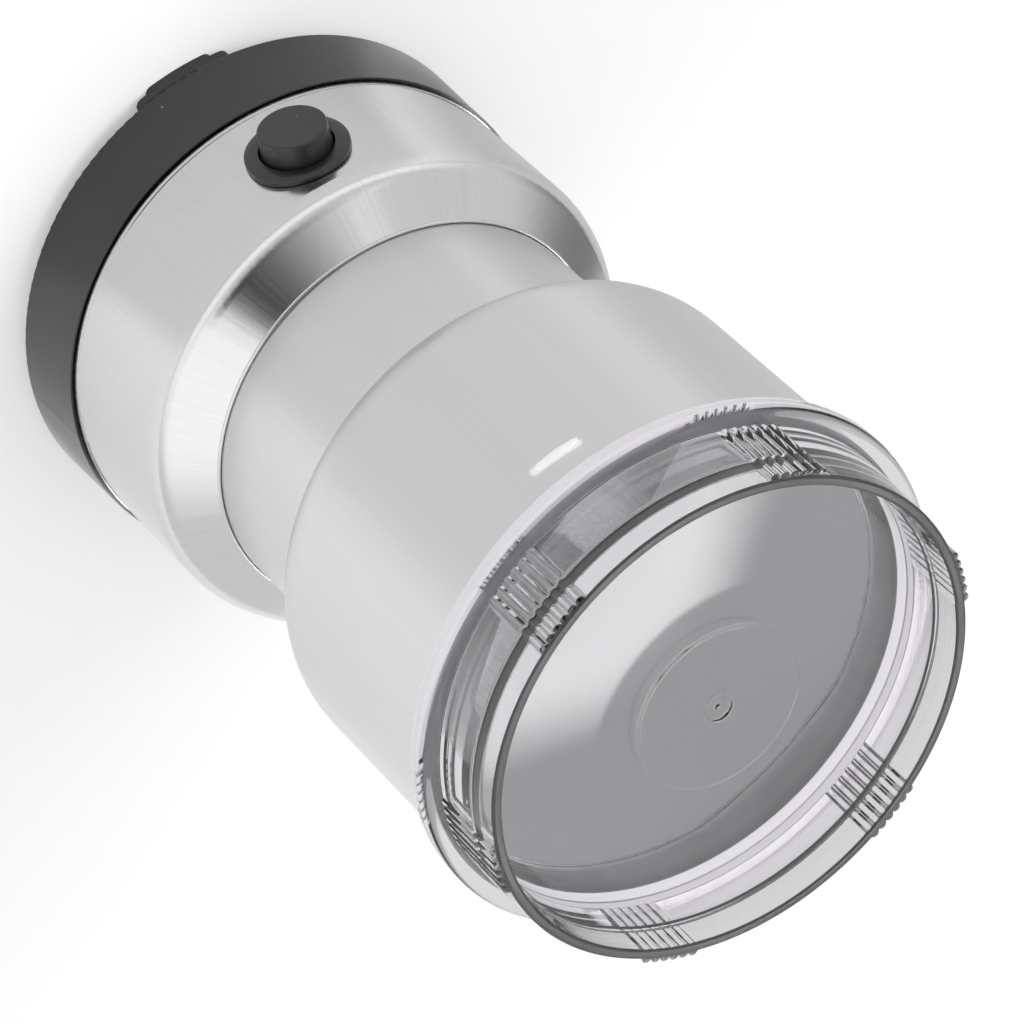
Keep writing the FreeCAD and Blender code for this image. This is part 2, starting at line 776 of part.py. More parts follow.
def biarc(start, start_way, end, end_way):
    """Two arcs that leave start and reach end along the given directions."""
    span = end - start
    both = start_way + end_way
    spread = 2 * (1 - start_way.dot(end_way))
    along = span.dot(both)
    reach = (math.sqrt(along**2 + spread * span.dot(span)) - along) / spread
    first = start + start_way * reach
    last = end - end_way * reach
    joint = (first + last) * 0.5
    arcs = []
    for low, corner, high in ((start, first, joint), (joint, last, end)):
        middle = (low + high) * 0.5
        half = (high - low).Length / 2
        cosine = min(half / (corner - low).Length, 1)
        rise = half * (1 - cosine) / math.sqrt(1 - cosine**2)
        crown = middle + (corner - middle).normalize() * rise
        arcs.append(Part.Arc(low, crown, high).toShape())
    return arcs


def coil(radius, wire, turns, low, high):
    """A round-wire spring along Z, one unbroken tube between two levels."""
    steps = 4 * turns
    pitch = (high - low) / turns

    def place(step):
        turn = step * math.pi / 2
        return FreeCAD.Vector(radius * math.cos(turn), radius * math.sin(turn), low + pitch * step / 4)

    def way(step):
        turn = step * math.pi / 2
        rise = pitch / (2 * math.pi)
        return FreeCAD.Vector(-radius * math.sin(turn), radius * math.cos(turn), rise).normalize()

    edges = []
    for step in range(steps):
        edges += biarc(place(step), way(step), place(step + 1), way(step + 1))
    path = Part.Wire(edges)
    section = Part.Wire([Part.Circle(place(0), way(0), wire / 2).toShape()])
    print(f"spring of {turns} turns: gap to itself {pitch - wire:.2f} mm")
    return path.makePipeShell([section], True, False)


def make_feet():
    """Three arc-shaped rubber pads, each with a shorter tread below and a peg into the floor."""
    body = new_body("foot_pads")
    for name, low, high, angle in (
        ("pad", "tread_height", "ring_level", "foot_angle"),
        ("tread", "zero", "tread_height", "tread_angle"),
    ):
        sketch = new_sketch(body, f"{name}_outline")
        rectangle(sketch, "foot_inner", low, "foot_outer", high)
        arc = body.newObject("PartDesign::Revolution", f"{name}_arc")
        arc.Profile = sketch
        arc.ReferenceAxis = (sketch, ["V_Axis"])
        arc.setExpression("Angle", cell(angle))
        arc.Midplane = True
        document.recompute()
    soften(body, "pad_ends", "foot_end_round", lambda edge: isinstance(edge.Curve, Part.Line)
           and abs(edge.tangentAt(edge.FirstParameter).z) > 0.99)
    peg_sketch = new_sketch(body, "peg_outline", "XY_Plane", "ring_level")
    circle(peg_sketch, "foot_middle", "zero", "peg_radius")
    pad(body, "peg", peg_sketch, "peg_length")
    whole = body.Tip
    pattern = body.newObject("PartDesign::PolarPattern", "pad_ring")
    pattern.TransformMode = "Whole shape"
    pattern.Axis = (origin_part(body, "Z_Axis"), [""])
    pattern.Angle = 360
    pattern.setExpression("Occurrences", cell("foot_count"))
    body.Tip = pattern
    document.recompute()
    if not pattern.Shape.Volume > whole.Shape.Volume:
        raise RuntimeError("the foot pattern adds nothing")
    set_axis(body, "foot_turn")
    keep(body, "foot_pads")


def make_base():
    """The moulded base: cup, vent slots, screw wells, peg holes and the lead's inlet."""
    body = new_body("base_cup")
    revolve(body, "base_wall", [
        ("zero", "ring_level"), ("base_radius", "ring_level"), ("base_top_radius", "seam_level"),
        ("groove_radius", "seam_level"), ("groove_radius", "groove_level"),
        ("spigot_radius", "groove_level"), ("spigot_radius", "spigot_level"),
        ("base_inner", "spigot_level"), ("base_inner", "floor_level"), ("zero", "floor_level"),
    ])
    soften(body, "base_edges", "base_edge_round", lambda edge: hoop(edge, "base_radius", "ring_level"))
    wells = new_sketch(body, "well_outline", "XY_Plane", "floor_level")
    four_circles(wells, "post_x", "post_y", "well_radius")
    pad(body, "wells", wells, "well_height")
    gland = new_sketch(body, "gland_outline", "XZ_Plane", "-inlet_inner")
    circle(gland, "zero", "inlet_level", "inlet_boss")
    pad(body, "gland", gland, "inlet_boss_length", backward=True)
    bores = new_sketch(body, "well_bores", "XY_Plane", "ring_level")
    four_circles(bores, "post_x", "post_y", "well_bore")
    pocket(body, "well_bore_cut", bores, "well_depth", backward=True)
    holes = new_sketch(body, "screw_holes", "XY_Plane", "well_top_level")
    four_circles(holes, "post_x", "post_y", "screw_hole")
    pocket(body, "screw_hole_cut", holes, "well_height")
    vent = new_sketch(body, "vent_outline", "XY_Plane", "floor_level")
    rectangle(vent, "vent_start", "-vent_half", "vent_end", "vent_half")
    slot = pocket(body, "vent", vent, "base_floor")
    ring_of(body, "vents", slot, "vent_count")
    peg = new_sketch(body, "peg_hole_outline", "XY_Plane", "floor_level")
    for step in range(int(size("foot_count"))):
        turned_circle(peg, "foot_turn", "foot_step", step, "foot_middle", "peg_hole")
    pocket(body, "peg_holes", peg, "base_floor")
    bore = new_sketch(body, "inlet_outline", "XZ_Plane", "-inlet_inner")
    circle(bore, "zero", "inlet_level", "inlet_radius")
    pocket(body, "inlet", bore, "base_radius")
    recess = new_sketch(body, "inlet_recess_outline", "XZ_Plane", "-inlet_face")
    circle(recess, "zero", "inlet_level", "inlet_recess_radius")
    pocket(body, "inlet_recess", recess, "base_radius")
    set_axis(body)
    keep(body, "base_cup")


def make_base_screws():
    """Four pan-head screws, up through the base wells into the carrier's posts."""
    screws = []
    for side in (1, -1):
        for end in (1, -1):
            parts = []
            for part, radius, height in (
                ("head", "screw_head_radius", "screw_head"), ("shank", "screw_radius", "screw_length"),
            ):
                cylinder = document.addObject("Part::Cylinder", f"screw_{part}")
                cylinder.setExpression("Radius", cell(radius))
                cylinder.setExpression("Height", cell(height))
                parts.append(cylinder)
            screw = document.addObject("Part::Fuse", "base_screw")
            screw.Base, screw.Tool = parts
            screw.setExpression("Placement.Base.x", f"{side} * sizes.post_x")
            screw.setExpression("Placement.Base.y", f"{end} * sizes.post_y")
            screw.setExpression("Placement.Base.z", cell("head_level"))
            screws.append(screw)
    bundle = group("base_screws", screws)
    set_axis(bundle)
    keep(bundle, "base_screws")


def make_lower_shell():
    """The brushed skirt: hem, cylinder, rounded shoulder, cone and the lip under the waist."""
    body = new_body("lower_shell")
    revolve(body, "skirt", [
        ("shell_inner", "groove_level"), ("hem_radius", "groove_level"), ("hem_radius", "hem_level"),
        ("shell_radius", "hem_level"), ("shell_radius", "corner_level"),
        ("collar_radius", "junction_level"), ("collar_radius", "lip_level"),
        ("lip_radius", "lip_level"), ("lip_radius", "lip_under"), ("lip_root", "lip_under"),
        ("shell_inner", "inner_corner_level"),
    ])
    soften(body, "shoulder", "shoulder_round", lambda edge: hoop(edge, "shell_radius", "corner_level"))
    soften(body, "inner_shoulder", "inner_shoulder_round",
           lambda edge: hoop(edge, "shell_inner", "inner_corner_level"))
    hole = new_sketch(body, "switch_hole_outline")
    circle(hole, "zero", "button_level", "switch_hole")
    pocket(body, "switch_hole", hole, "button_reach", backward=True)
    set_axis(body)
    keep(body, "lower_shell")


def make_upper_shell():
    """The satin waist that opens into the cup, with a small pressed mark near its rim."""
    body = new_body("upper_shell")
    revolve(body, "waist_and_cup", [
        ("waist_inner", "lip_level"), ("waist_radius", "lip_level"),
        ("waist_radius", "waist_top_level", "cup_round", 1), ("cup_radius", "cup_start_level"),
        ("cup_radius", "cup_top_level"), ("cup_inner", "cup_top_level"),
        ("cup_inner", "cup_start_level", "inner_round", -1), ("waist_inner", "waist_inner_top"),
    ])
    soften(body, "waist_outside", "waist_fillet",
           lambda edge: hoop(edge, "waist_radius", "waist_top_level"))
    soften(body, "waist_inside", "inner_waist_fillet",
           lambda edge: hoop(edge, "waist_inner", "waist_inner_top"))
    mark = body.newObject("PartDesign::AdditiveEllipsoid", "mark")
    mark.setExpression("Radius1", cell("mark_depth"))
    mark.setExpression("Radius2", cell("mark_half_height"))
    mark.setExpression("Radius3", cell("mark_half_length"))
    out = FreeCAD.Rotation(FreeCAD.Vector(0, 0, 1), size("mark_angle"))
    lie = FreeCAD.Rotation(FreeCAD.Vector(0, 1, 0), 90)
    level = size("rim_level") - size("mark_below_rim")
    place = out.multVec(FreeCAD.Vector(size("cup_radius"), 0, 0)) + FreeCAD.Vector(0, 0, level)
    mark.Placement = FreeCAD.Placement(place, out.multiply(lie))
    body.Tip = mark
    document.recompute()
    set_axis(body)
    keep(body, "upper_shell")


def make_bowl():
    """The drawn steel bowl, with its rim lying on the cup's edge."""
    body = new_body("grinding_bowl")
    revolve(body, "bowl", [
        ("bush_hole", "bowl_under"), ("bowl_flat", "bowl_under", "bowl_round", 1),
        ("bowl_outer", "bowl_corner_level"), ("bowl_outer", "cup_top_level"),
        ("cup_radius", "cup_top_level"), ("cup_radius", "rim_level"), ("bowl_radius", "rim_level"),
        ("bowl_radius", "bowl_corner_level", "bowl_inner_round", -1), ("bowl_flat", "bowl_floor"),
        ("bush_hole", "bowl_floor"),
    ])
    set_axis(body)
    keep(body, "grinding_bowl")


def make_bowl_clamp():
    """The flanged bush through the bowl, its nut under the carrier, and the shaft seal."""
    body = new_body("bowl_bush")
    revolve(body, "bush", [
        ("bush_bore", "bush_end"), ("bush_radius", "bush_end"), ("bush_radius", "bowl_floor"),
        ("bush_flange_radius", "bowl_floor"), ("bush_flange_radius", "bush_edge_level"),
        ("bush_shoulder", "bush_top"), ("seal_radius", "bush_top"), ("seal_radius", "seal_floor"),
        ("bush_bore", "seal_floor"),
    ])
    set_axis(body)
    keep(body, "bowl_bush")
    nut = hexagon("clamp_nut", "bowl_nut_flats", "nut_under", "bowl_nut_height", "bush_hole")
    set_axis(nut)
    keep(nut, "bowl_nut")
    seal = tube("seal", "seal_bore", "seal_radius", "seal_floor", "seal_height")
    set_axis(seal)
    keep(seal, "shaft_seal")


def make_carrier():
    """The moulded carrier: plate under the bowl, skirt in the waist, four posts, two bosses."""
    body = new_body("motor_carrier")
    revolve(body, "plate", [
        ("bush_hole", "plate_under"), ("carrier_skirt_inner", "plate_under"),
        ("carrier_skirt_inner", "carrier_skirt_level"), ("carrier_radius", "carrier_skirt_level"),
        ("carrier_radius", "bowl_under"), ("bush_hole", "bowl_under"),
    ])
    posts = new_sketch(body, "post_outline", "XY_Plane", "plate_under")
    four_circles(posts, "post_x", "post_y", "post_radius")
    pad(body, "posts", posts, "post_length", backward=True)
    bosses = new_sketch(body, "boss_outline", "XY_Plane", "plate_under")
    for side in ("", "-"):
        circle(bosses, "zero", side + "bolt_y", "boss_radius")
    pad(body, "bosses", bosses, "boss_height", backward=True)
    pilots = new_sketch(body, "post_pilots", "XY_Plane", "well_top_level")
    four_circles(pilots, "post_x", "post_y", "pilot_radius")
    pocket(body, "post_pilot_cut", pilots, "pilot_depth", backward=True)
    bolts = new_sketch(body, "boss_pilots", "XY_Plane", "boss_level")
    for side in ("", "-"):
        circle(bolts, "zero", side + "bolt_y", "bolt_pilot")
    pocket(body, "boss_pilot_cut", bolts, "boss_height", backward=True)
    set_axis(body)
    keep(body, "motor_carrier")


def make_lid():
    """The clear lid: skirt, flange, wall, recessed panel and six groups of grip ribs."""
    body = new_body("lid")
    revolve(body, "lid_wall", [
        ("skirt_inner", "skirt_bottom"), ("skirt_outer", "skirt_bottom"), ("skirt_outer", "lid_seat"),
        ("flange_radius", "lid_seat"), ("flange_radius", "flange_top"),
        ("lid_foot_radius", "flange_top"), ("lid_rim_radius", "lid_top"),
        ("recess_radius", "lid_top"), ("recess_floor_radius", "panel_level"),
        ("disc_radius", "panel_level"), ("disc_radius", "disc_level"), ("gate_radius", "disc_level"),
        ("gate_radius", "gate_level"), ("nub_radius", "gate_level"), ("nub_radius", "disc_level"),
        ("zero", "disc_level"), ("zero", "panel_under"), ("lid_inner", "panel_under"),
    ])
    soften(body, "flange_edge", "flange_round", lambda edge: hoop(edge, "flange_radius", "flange_top")
           or hoop(edge, "flange_radius", "lid_seat"))
    soften(body, "rim_edge", "lid_rim_round", lambda edge: hoop(edge, "lid_rim_radius", "lid_top")
           or hoop(edge, "recess_radius", "lid_top"))
    ribs = new_sketch(body, "rib_outline", "XY_Plane", "flange_top")
    for count in range(int(size("rib_count"))):
        turned_circle(ribs, "rib_first", "rib_pitch", count, "rib_ring", "rib_radius")
    rib_group = pad(body, "rib_group", ribs, "rib_length")
    ring_of(body, "rib_groups", rib_group, "rib_group_count")
    set_axis(body)
    keep(body, "lid")


def make_brackets():
    """The motor's end brackets with their bearing hubs, legs and brush arms."""
    body = new_body("upper_bracket")
    bar = new_sketch(body, "upper_bar_outline", "XY_Plane", "bracket_under")
    rectangle(bar, "-bracket_half_width", "-stack_half_width", "bracket_half_width", "stack_half_width")
    pad(body, "upper_bar", bar, "bracket_bar")
    hub = new_sketch(body, "upper_hub_outline", "XY_Plane", "upper_hub_under")
    circle(hub, "zero", "zero", "hub_radius")
    pad(body, "upper_hub", hub, "upper_hub_height")
    legs = new_sketch(body, "upper_leg_outline", "XY_Plane", "bracket_under")
    for low, high in (("leg_inner", "stack_half_width"), ("-stack_half_width", "-leg_inner")):
        rectangle(legs, "-bracket_half_width", low, "bracket_half_width", high)
    pad(body, "upper_legs", legs, "upper_leg", backward=True)
    bores = new_sketch(body, "upper_bore_outline", "XY_Plane", "stack_top")
    circle(bores, "zero", "zero", "hub_bore")
    for side in ("", "-"):
        circle(bores, "zero", side + "bolt_y", "bolt_hole")
    pocket(body, "upper_bores", bores, "stack_height", backward=True)
    set_axis(body)
    keep(body, "upper_bracket")

    body = new_body("lower_bracket")
    bar = new_sketch(body, "lower_bar_outline", "XY_Plane", "spider_under")
    rectangle(bar, "-bracket_half_width", "-stack_half_width", "bracket_half_width", "stack_half_width")
    pad(body, "lower_bar", bar, "bracket_bar")
    arms = new_sketch(body, "arm_outline", "XY_Plane", "spider_under")
    rectangle(arms, "-arm_end", "-bracket_half_width", "arm_end", "bracket_half_width")
    pad(body, "arms", arms, "bracket_bar")
    hub = new_sketch(body, "lower_hub_outline", "XY_Plane", "lower_hub_under")
    circle(hub, "zero", "zero", "hub_radius")
    pad(body, "lower_hub", hub, "lower_hub_height")
    legs = new_sketch(body, "lower_leg_outline", "XY_Plane", "spider_top")
    for low, high in (("leg_inner", "stack_half_width"), ("-stack_half_width", "-leg_inner")):
        rectangle(legs, "-bracket_half_width", low, "bracket_half_width", high)
    pad(body, "lower_legs", legs, "lower_leg")
    uprights = new_sketch(body, "upright_outline", "XY_Plane", "spider_top")
    for low, high in (("arm_start", "arm_end"), ("-arm_end", "-arm_start")):
        rectangle(uprights, low, "-bracket_half_width", high, "bracket_half_width")
    pad(body, "uprights", uprights, "upright_length")
    bores = new_sketch(body, "lower_bore_outline", "XY_Plane", "lower_hub_under")
    circle(bores, "zero", "zero", "hub_bore")
    for side in ("", "-"):
        circle(bores, "zero", side + "bolt_y", "bolt_hole")
    pocket(body, "lower_bores", bores, "lower_bore_length", backward=True)
    slots = new_sketch(body, "brush_hole_outline", "YZ_Plane", "-arm_end")
    rectangle(slots, "-arm_hole", "arm_hole_low", "arm_hole", "arm_hole_high")
    pocket(body, "brush_holes", slots, "arm_span", backward=True)
    set_axis(body)
    keep(body, "lower_bracket")

    for label, level in (("upper_bearing", "upper_bearing_level"), ("lower_bearing", "lower_bearing_level")):
        bearing = tube(f"{label}_ring", "bearing_bore", "bearing_radius", level, "bearing_length")
        set_axis(bearing)
        keep(bearing, label)


def make_stator():
    """The laminated stator core with two poles, and the two field coils round them."""
    body = new_body("stator_core")
    plan = new_sketch(body, "stack_outline", "XY_Plane", "stack_under")
    rectangle(plan, "-stack_half_length", "-stack_half_width", "stack_half_length", "stack_half_width")
    pad(body, "stack", plan, "stack_height")
    soften(body, "stack_corners", "stack_corner", lambda edge: isinstance(edge.Curve, Part.Line)
           and abs(edge.tangentAt(edge.FirstParameter).z) > 0.99)
    bore = new_sketch(body, "bore_outline", "XY_Plane", "stack_top")
    outline(bore, [
        ("pole_face", "-pole_half", "stack_bore", 1), ("pole_face", "pole_half"),
        ("window_reach", "pole_half"), ("window_reach", "window_half"),
        ("crown_half", "window_half", "stack_bore", 1), ("-crown_half", "window_half"),
        ("-window_reach", "window_half"), ("-window_reach", "pole_half"),
        ("-pole_face", "pole_half", "stack_bore", 1), ("-pole_face", "-pole_half"),
        ("-window_reach", "-pole_half"), ("-window_reach", "-window_half"),
        ("-crown_half", "-window_half", "stack_bore", 1), ("crown_half", "-window_half"),
        ("window_reach", "-window_half"), ("window_reach", "-pole_half"),
    ])
    pocket(body, "bore", bore, "stack_height")
    holes = new_sketch(body, "bolt_hole_outline", "XY_Plane", "stack_top")
    for side in ("", "-"):
        circle(holes, "zero", side + "bolt_y", "bolt_hole")
    pocket(body, "bolt_holes", holes, "stack_height")
    set_axis(body)
    keep(body, "stator_core")

    body = new_body("field_coils")
    ring = new_sketch(body, "coil_outline", "YZ_Plane", "coil_start")
    rectangle(ring, "-coil_outer_half", "coil_under", "coil_outer_half", "coil_top")
    rectangle(ring, "-coil_inner_half", "coil_under_inner", "coil_inner_half", "coil_top_inner")
    side = pad(body, "coil", ring, "coil_depth")
    ring_of(body, "coils", side, "pole_count")
    set_axis(body)
    keep(body, "field_coils")


def make_armature():
    """What turns inside the motor: shaft, slotted core, winding, commutator and fan."""
    body = new_body("motor_shaft")
    revolve(body, "shaft", [
        ("zero", "fan_under"), ("shaft_radius", "fan_under"), ("shaft_radius", "hub_top"),
        ("shaft_thread_radius", "hub_top"), ("shaft_thread_radius", "shaft_end"), ("zero", "shaft_end"),
    ])
    set_axis(body)
    keep(body, "motor_shaft")

    body = new_body("armature_core")
    revolve(body, "core", [
        ("shaft_fit", "stack_under"), ("armature_radius", "stack_under"),
        ("armature_radius", "stack_top"), ("shaft_fit", "stack_top"),
    ])
    slot = new_sketch(body, "slot_outline", "XY_Plane", "stack_top")
    rectangle(slot, "slot_root", "-slot_half", "slot_open", "slot_half")
    cut = pocket(body, "slot", slot, "stack_height")
    ring_of(body, "slots", cut, "armature_slots")
    set_axis(body)
    keep(body, "armature_core")

    body = new_body("armature_winding")
    revolve(body, "top_turns", [
        ("winding_bore", "winding_top_inner"), ("winding_radius", "winding_top_inner"),
        ("winding_crown", "winding_top"), ("winding_bore", "winding_top"),
    ])
    bar = new_sketch(body, "bar_outline", "XY_Plane", "winding_under_inner")
    rectangle(bar, "winding_root", "-winding_half", "winding_bar_end", "winding_half")
    run = pad(body, "bar", bar, "winding_run")
    ring_of(body, "bars", run, "armature_slots")
    lower = new_sketch(body, "lower_turns_outline")
    outline(lower, [
        ("winding_bore", "winding_under"), ("winding_crown", "winding_under"),
        ("winding_radius", "winding_under_inner"), ("winding_bore", "winding_under_inner"),
    ])
    turned = body.newObject("PartDesign::Revolution", "lower_turns")
    turned.Profile = lower
    turned.ReferenceAxis = (lower, ["V_Axis"])
    turned.Angle = 360
    document.recompute()
    set_axis(body)
    keep(body, "armature_winding")

    body = new_body("commutator")
    revolve(body, "bars", [
        ("shaft_fit", "commutator_under"), ("commutator_radius", "commutator_under"),
        ("commutator_radius", "commutator_top"), ("shaft_fit", "commutator_top"),
    ])
    groove = new_sketch(body, "groove_outline", "XY_Plane", "commutator_top")
    rectangle(groove, "commutator_slot_root", "-commutator_slot_half",
              "slot_open", "commutator_slot_half")
    cut = pocket(body, "groove", groove, "commutator_length")
    ring_of(body, "grooves", cut, "armature_slots")
    set_axis(body)
    keep(body, "commutator")

    body = new_body("cooling_fan")
    revolve(body, "fan_disc", [
        ("shaft_fit", "fan_under"), ("fan_hub_radius", "fan_under"), ("fan_hub_radius", "fan_disc_under"),
        ("fan_radius", "fan_disc_under"), ("fan_radius", "fan_top"), ("shaft_fit", "fan_top"),
    ])
    blade = new_sketch(body, "fan_blade_outline", "XY_Plane", "fan_disc_under")
    rectangle(blade, "fan_blade_start", "-fan_blade_half", "fan_blade_end", "fan_blade_half")
    vane = pad(body, "fan_blade", blade, "fan_blade_height", backward=True)
    ring_of(body, "fan_blades", vane, "fan_blade_count")
    set_axis(body)
    keep(body, "cooling_fan")


def make_motor_bolts():
    """Two long bolts through the motor into the carrier, with a rubber ring on each."""
    bolts, rings = [], []
    for side in (1, -1):
        parts = []
        for part, radius, level, height in (
            ("head", "bolt_head_radius", "bolt_head_level", "bolt_head"),
            ("shank", "bolt_radius", "spider_under", "bolt_length"),
        ):
            cylinder = document.addObject("Part::Cylinder", f"bolt_{part}")
            cylinder.setExpression("Radius", cell(radius))
            cylinder.setExpression("Height", cell(height))
            cylinder.setExpression("Placement.Base.z", cell(level))
            parts.append(cylinder)
        bolt = document.addObject("Part::Fuse", "motor_bolt")
        bolt.Base, bolt.Tool = parts
        bolt.setExpression("Placement.Base.y", f"{side} * sizes.bolt_y")
        bolts.append(bolt)
        ring = tube("mount_ring", "bolt_hole", "boss_radius", "bracket_top", "mount_height")
        ring.setExpression("Placement.Base.y", f"{side} * sizes.bolt_y")
        rings.append(ring)
    for label, members in (("motor_bolts", bolts), ("motor_mounts", rings)):
        bundle = group(label, members)
        set_axis(bundle)
        keep(bundle, label)


def make_brushes():
    """Brass brush holders at each side of the commutator, with carbon brush and spring."""
    body = new_body("brush_holders")
    box = new_sketch(body, "holder_outline", "YZ_Plane", "holder_start")
    rectangle(box, "-holder_half", "holder_low", "holder_half", "holder_high")
    side = pad(body, "holder", box, "holder_length")
    ring_of(body, "holders", side, "pole_count")
    bore = new_sketch(body, "holder_bore_outline", "YZ_Plane", "-brush_cap_start")
    rectangle(bore, "-holder_bore", "holder_bore_low", "holder_bore", "holder_bore_high")
    pocket(body, "holder_bore", bore, "holder_bore_span", backward=True)
    set_axis(body)
    keep(body, "brush_holders")

    body = new_body("carbon_brushes")
    block = new_sketch(body, "brush_outline", "YZ_Plane", "brush_start")
    rectangle(block, "-brush_half", "brush_low", "brush_half", "brush_high")
    side = pad(body, "brush", block, "brush_length")
    ring_of(body, "brushes", side, "pole_count")
    set_axis(body)
    keep(body, "carbon_brushes")

    wire = size("brush_spring_wire")
    ends = wire / 2 + size("fit_gap")
    spring = coil(
        size("brush_spring_radius"), wire, int(size("brush_spring_turns")),
        size("brush_end") + ends, size("brush_cap_start") - ends,
    )
    springs = document.addObject("Part::Feature", "brush_spring_pair")
    pair = []
    for turn in (90, -90):
        place = FreeCAD.Placement(
            FreeCAD.Vector(0, 0, size("brush_level")), FreeCAD.Rotation(FreeCAD.Vector(0, 1, 0), turn)
        )
        copy = spring.copy()
        copy.Placement = place
        pair.append(copy)
    springs.Shape = Part.makeCompound(pair)
    set_axis(springs)
    keep(springs, "brush_springs")


def make_blade():
    """The bent two-winged blade, its moulded hub and its domed nut."""
    body = new_body("blade_hub")
    revolve(body, "hub", [
        ("shaft_fit", "hub_under"), ("blade_hub_radius", "hub_under"), ("blade_hub_top", "hub_top"),
        ("shaft_fit", "hub_top"),
    ])
    set_axis(body)
    keep(body, "blade_hub")

    side = new_body("blade_side")
    strip = new_sketch(side, "strip_outline")
    outline(strip, [
        ("-blade_reach", "blade_drop_level"), ("-blade_flat", "hub_top"), ("blade_flat", "hub_top"),
        ("blade_reach", "blade_rise_level"), ("blade_reach", "blade_rise_top"),
        ("blade_flat", "blade_top"), ("-blade_flat", "blade_top"), ("-blade_reach", "blade_drop_top"),
    ])
    pad(side, "strip", strip, "blade_width", centred=True)
    plan = new_body("blade_plan")
    shape = new_sketch(plan, "blade_outline", "XY_Plane", "blade_drop_level")
    outline(shape, [
        ("blade_tip_start", "-blade_tip_half", "blade_tip_round", 1), ("blade_tip_start", "blade_tip_half"),
        ("blade_flat", "blade_root_half"), ("-blade_flat", "blade_root_half"),
        ("-blade_tip_start", "blade_tip_half", "blade_tip_round", 1),
        ("-blade_tip_start", "-blade_tip_half"), ("-blade_flat", "-blade_root_half"),
        ("blade_flat", "-blade_root_half"),
    ])
    pad(plan, "blade_block", shape, "blade_block_height")
    bore = new_sketch(plan, "blade_bore", "XY_Plane", "blade_drop_level")
    circle(bore, "zero", "zero", "blade_hole")
    pocket(plan, "blade_bore_cut", bore, "blade_block_height", backward=True)
    blank = document.addObject("Part::Common", "blade_blank")
    blank.Base, blank.Tool = side, plan
    document.recompute()
    set_axis(blank, "blade_turn")
    document.recompute()
    keep(blank, "grinding_blade")

    flats = document.addObject("Part::Prism", "blade_nut_prism")
    flats.Polygon = 6
    flats.setExpression("Circumradius", "sizes.blade_nut_flats / sqrt(3)")
    flats.setExpression("Height", cell("blade_nut_height"))
    flats.setExpression("Placement.Base.z", cell("blade_top"))
    dome = document.addObject("Part::Sphere", "blade_nut_dome")
    dome.setExpression("Radius", "sizes.blade_nut_flats / 2")
    dome.Angle1 = 0
    squash = document.addObject("Part::Fuse", "blade_nut_outside")
    dome.setExpression("Placement.Base.z", cell("blade_nut_top"))
    squash.Base, squash.Tool = flats, dome
    hole = document.addObject("Part::Cylinder", "blade_nut_hole")
    hole.setExpression("Radius", cell("blade_hole"))
    hole.setExpression("Height", cell("nut_bore_depth"))
    hole.setExpression("Placement.Base.z", cell("blade_top"))
    whole = document.addObject("Part::Cut", "blade_nut_whole")
    whole.Base, whole.Tool = squash, hole
    set_axis(whole)
    document.recompute()
    keep(whole, "blade_nut")


